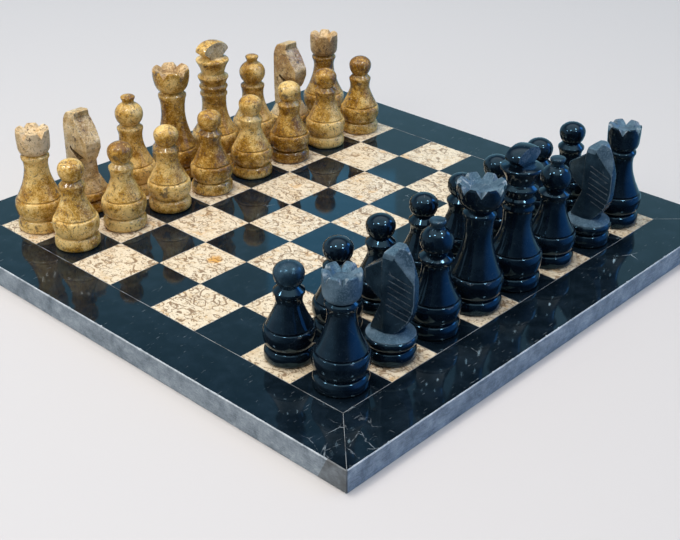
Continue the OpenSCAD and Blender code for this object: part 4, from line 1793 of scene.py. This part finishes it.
@dataclass
class Studio:
    """A plain pale floor, soft light and the camera."""

    camera_at: Spot = (0.5393, 0.5068, 0.386)
    azimuth: float = 132.7085
    elevation: float = 28.9281
    roll: float = 0.4814
    lens: float = 64.7
    sensor: float = 36.0
    white_from: Spot = (0.72, -0.62, 0.3)
    blue_from: Spot = (-0.62, 0.72, 0.3)
    floor_side: float = 30.0
    floor_z: float = -0.0002
    floor_colour: Colour = (0.575, 0.545, 0.525)

    def floor(self) -> bpy.types.Object:
        """A plain pale floor just under the board."""
        half = self.floor_side / 2
        mesh = bpy.data.meshes.new("floor")
        corners = [(-half, -half, self.floor_z), (half, -half, self.floor_z)]
        corners += [(half, half, self.floor_z), (-half, half, self.floor_z)]
        mesh.from_pydata(corners, [], [(0, 1, 2, 3)])
        material = bpy.data.materials.new("pale_floor")
        material.use_nodes = True
        shader = material.node_tree.nodes["Principled BSDF"]
        shader.inputs["Base Color"].default_value = (*self.floor_colour, 1.0)
        shader.inputs["Roughness"].default_value = 0.5
        shader.inputs["Specular IOR Level"].default_value = 0.25
        mesh.materials.append(material)
        o = add_object("floor", mesh)
        o.visible_glossy = False
        return o

    def hang(self, lamp: Lamp) -> None:
        """Hangs a lamp so that it looks at the board.

        Args:
            lamp: The lamp.
        """
        light = bpy.data.lights.new(lamp.name, "AREA")
        light.size, light.energy, light.color = lamp.size, lamp.watts, lamp.colour
        o = bpy.data.objects.new(lamp.name, light)
        bpy.context.scene.collection.objects.link(o)
        o.location = lamp.at
        o.rotation_mode = "QUATERNION"
        o.rotation_quaternion = (-Vector(lamp.at)).to_track_quat("-Z", "Y")
        o.visible_camera = False
        o.visible_diffuse = lamp.fills
        o.visible_glossy = lamp.shines

    def world(self) -> None:
        """A plain surround: bright overhead, dim all round, with a white glow and a blue one to the sides."""
        world = bpy.data.worlds.new("surround")
        bpy.context.scene.world = world
        world.use_nodes = True
        sk = Sketch(world.node_tree)
        back = world.node_tree.nodes["Background"]
        ray = sk.node("ShaderNodeTexCoord").outputs["Generated"]
        _, y, up = sk.node("ShaderNodeSeparateXYZ", {0: ray}).outputs
        sight = (-math.sin(math.radians(self.azimuth)), math.cos(math.radians(self.azimuth)), 0.0)
        far = sk.measured("DOT_PRODUCT", ray, sight)
        glows = []
        for way in (self.white_from, self.blue_from):
            glows.append(sk.remap(sk.measured("DOT_PRODUCT", ray, way), 0.45, 1.0))
        walls = sk.mix(sk.remap(y, -0.1, 0.8), (0.22, 0.24, 0.26), (0.035, 0.075, 0.125))
        colour = sk.mix(glows[0], walls, (0.46, 0.52, 0.58))
        colour = sk.mix(glows[1], colour, (0.10, 0.46, 1.15))
        low = sk.mix(sk.remap(up, 0.38, 0.66), (0.25, 0.48, 0.61), (0.05, 0.14, 0.24))
        colour = sk.mix(sk.remap(far, 0.1, 0.6), colour, low)
        colour = sk.mix(sk.remap(up, 0.66, 0.86), colour, (1.5, 1.47, 1.45))
        seen = sk.node("ShaderNodeLightPath").outputs["Is Camera Ray"]
        colour = sk.mix(seen, colour, (0.74, 0.735, 0.745))
        sk.tree.links.new(colour, back.inputs["Color"])
        back.inputs["Strength"].default_value = 1.0

    def camera(self) -> None:
        """The camera, looking down at the corner between the h-file and the dark side."""
        data = bpy.data.cameras.new("camera")
        data.lens, data.sensor_width = self.lens, self.sensor
        data.clip_start, data.clip_end = 0.01, 100.0
        az, el, roll = (math.radians(x) for x in (self.azimuth, self.elevation, self.roll))
        back = Vector((math.sin(az) * math.cos(el), -math.cos(az) * math.cos(el), math.sin(el)))
        right = (-back).cross(Vector((0, 0, 1))).normalized()
        up = right.cross(-back)
        side = math.cos(roll) * right + math.sin(roll) * up
        top = math.cos(roll) * up - math.sin(roll) * right
        o = bpy.data.objects.new("camera", data)
        bpy.context.scene.collection.objects.link(o)
        o.matrix_world = Matrix.Translation(self.camera_at) @ Matrix((side, top, back)).transposed().to_4x4()
        bpy.context.scene.camera = o

    def build(self) -> None:
        """Makes the floor, the light and the camera."""
        self.floor()
        self.world()
        for lamp in LAMPS:
            self.hang(lamp)
        self.camera()
        bpy.context.scene.view_settings.view_transform = "Standard"


# ---- the set ----

BACK_RANK = (Rook, Knight, Bishop, King, Queen, Bishop, Knight, Rook)
TURNS = {"h1": 27, "h8": 47, "a8": 24, "a1": 10, "e1": 25, "e8": 38, "g8": 9}
TREES: dict[str, bpy.types.NodeTree] = {}


@dataclass
class ChessSet:
    """The board and both armies in their starting places."""

    files: str = "abcdefgh"

    def army(self, side: Side) -> list[Piece]:
        """The sixteen pieces of one side.

        Args:
            side: Which side.

        Returns:
            The pieces, back rank first.
        """
        back, front = (1, 2) if side is Side.LIGHT else (8, 7)
        squares = [f"{f}{back}" for f in self.files]
        first = [kind(side, square, TURNS.get(square, 0)) for square, kind in zip(squares, BACK_RANK)]
        return first + [Pawn(side, f"{f}{front}") for f in self.files]

    def build(self) -> None:
        """Makes every piece and reports it."""
        TREES.update(lathe=lathe_tree(), notches=notch_tree(), lines=lines_tree(), inlay=inlay_tree())
        for o in Board().build():
            log.info("%s: %d faces", o.name, len(o.data.polygons))
        for side in Side:
            for piece in self.army(side):
                o = piece.build()
                log.info("%s: %d faces", o.name, len(o.data.polygons))


def main() -> None:
    """Builds the set and its studio."""
    logging.basicConfig(level=logging.INFO, format="%(message)s")
    ChessSet().build()
    Studio().build()


if __name__ == "__main__":
    main()
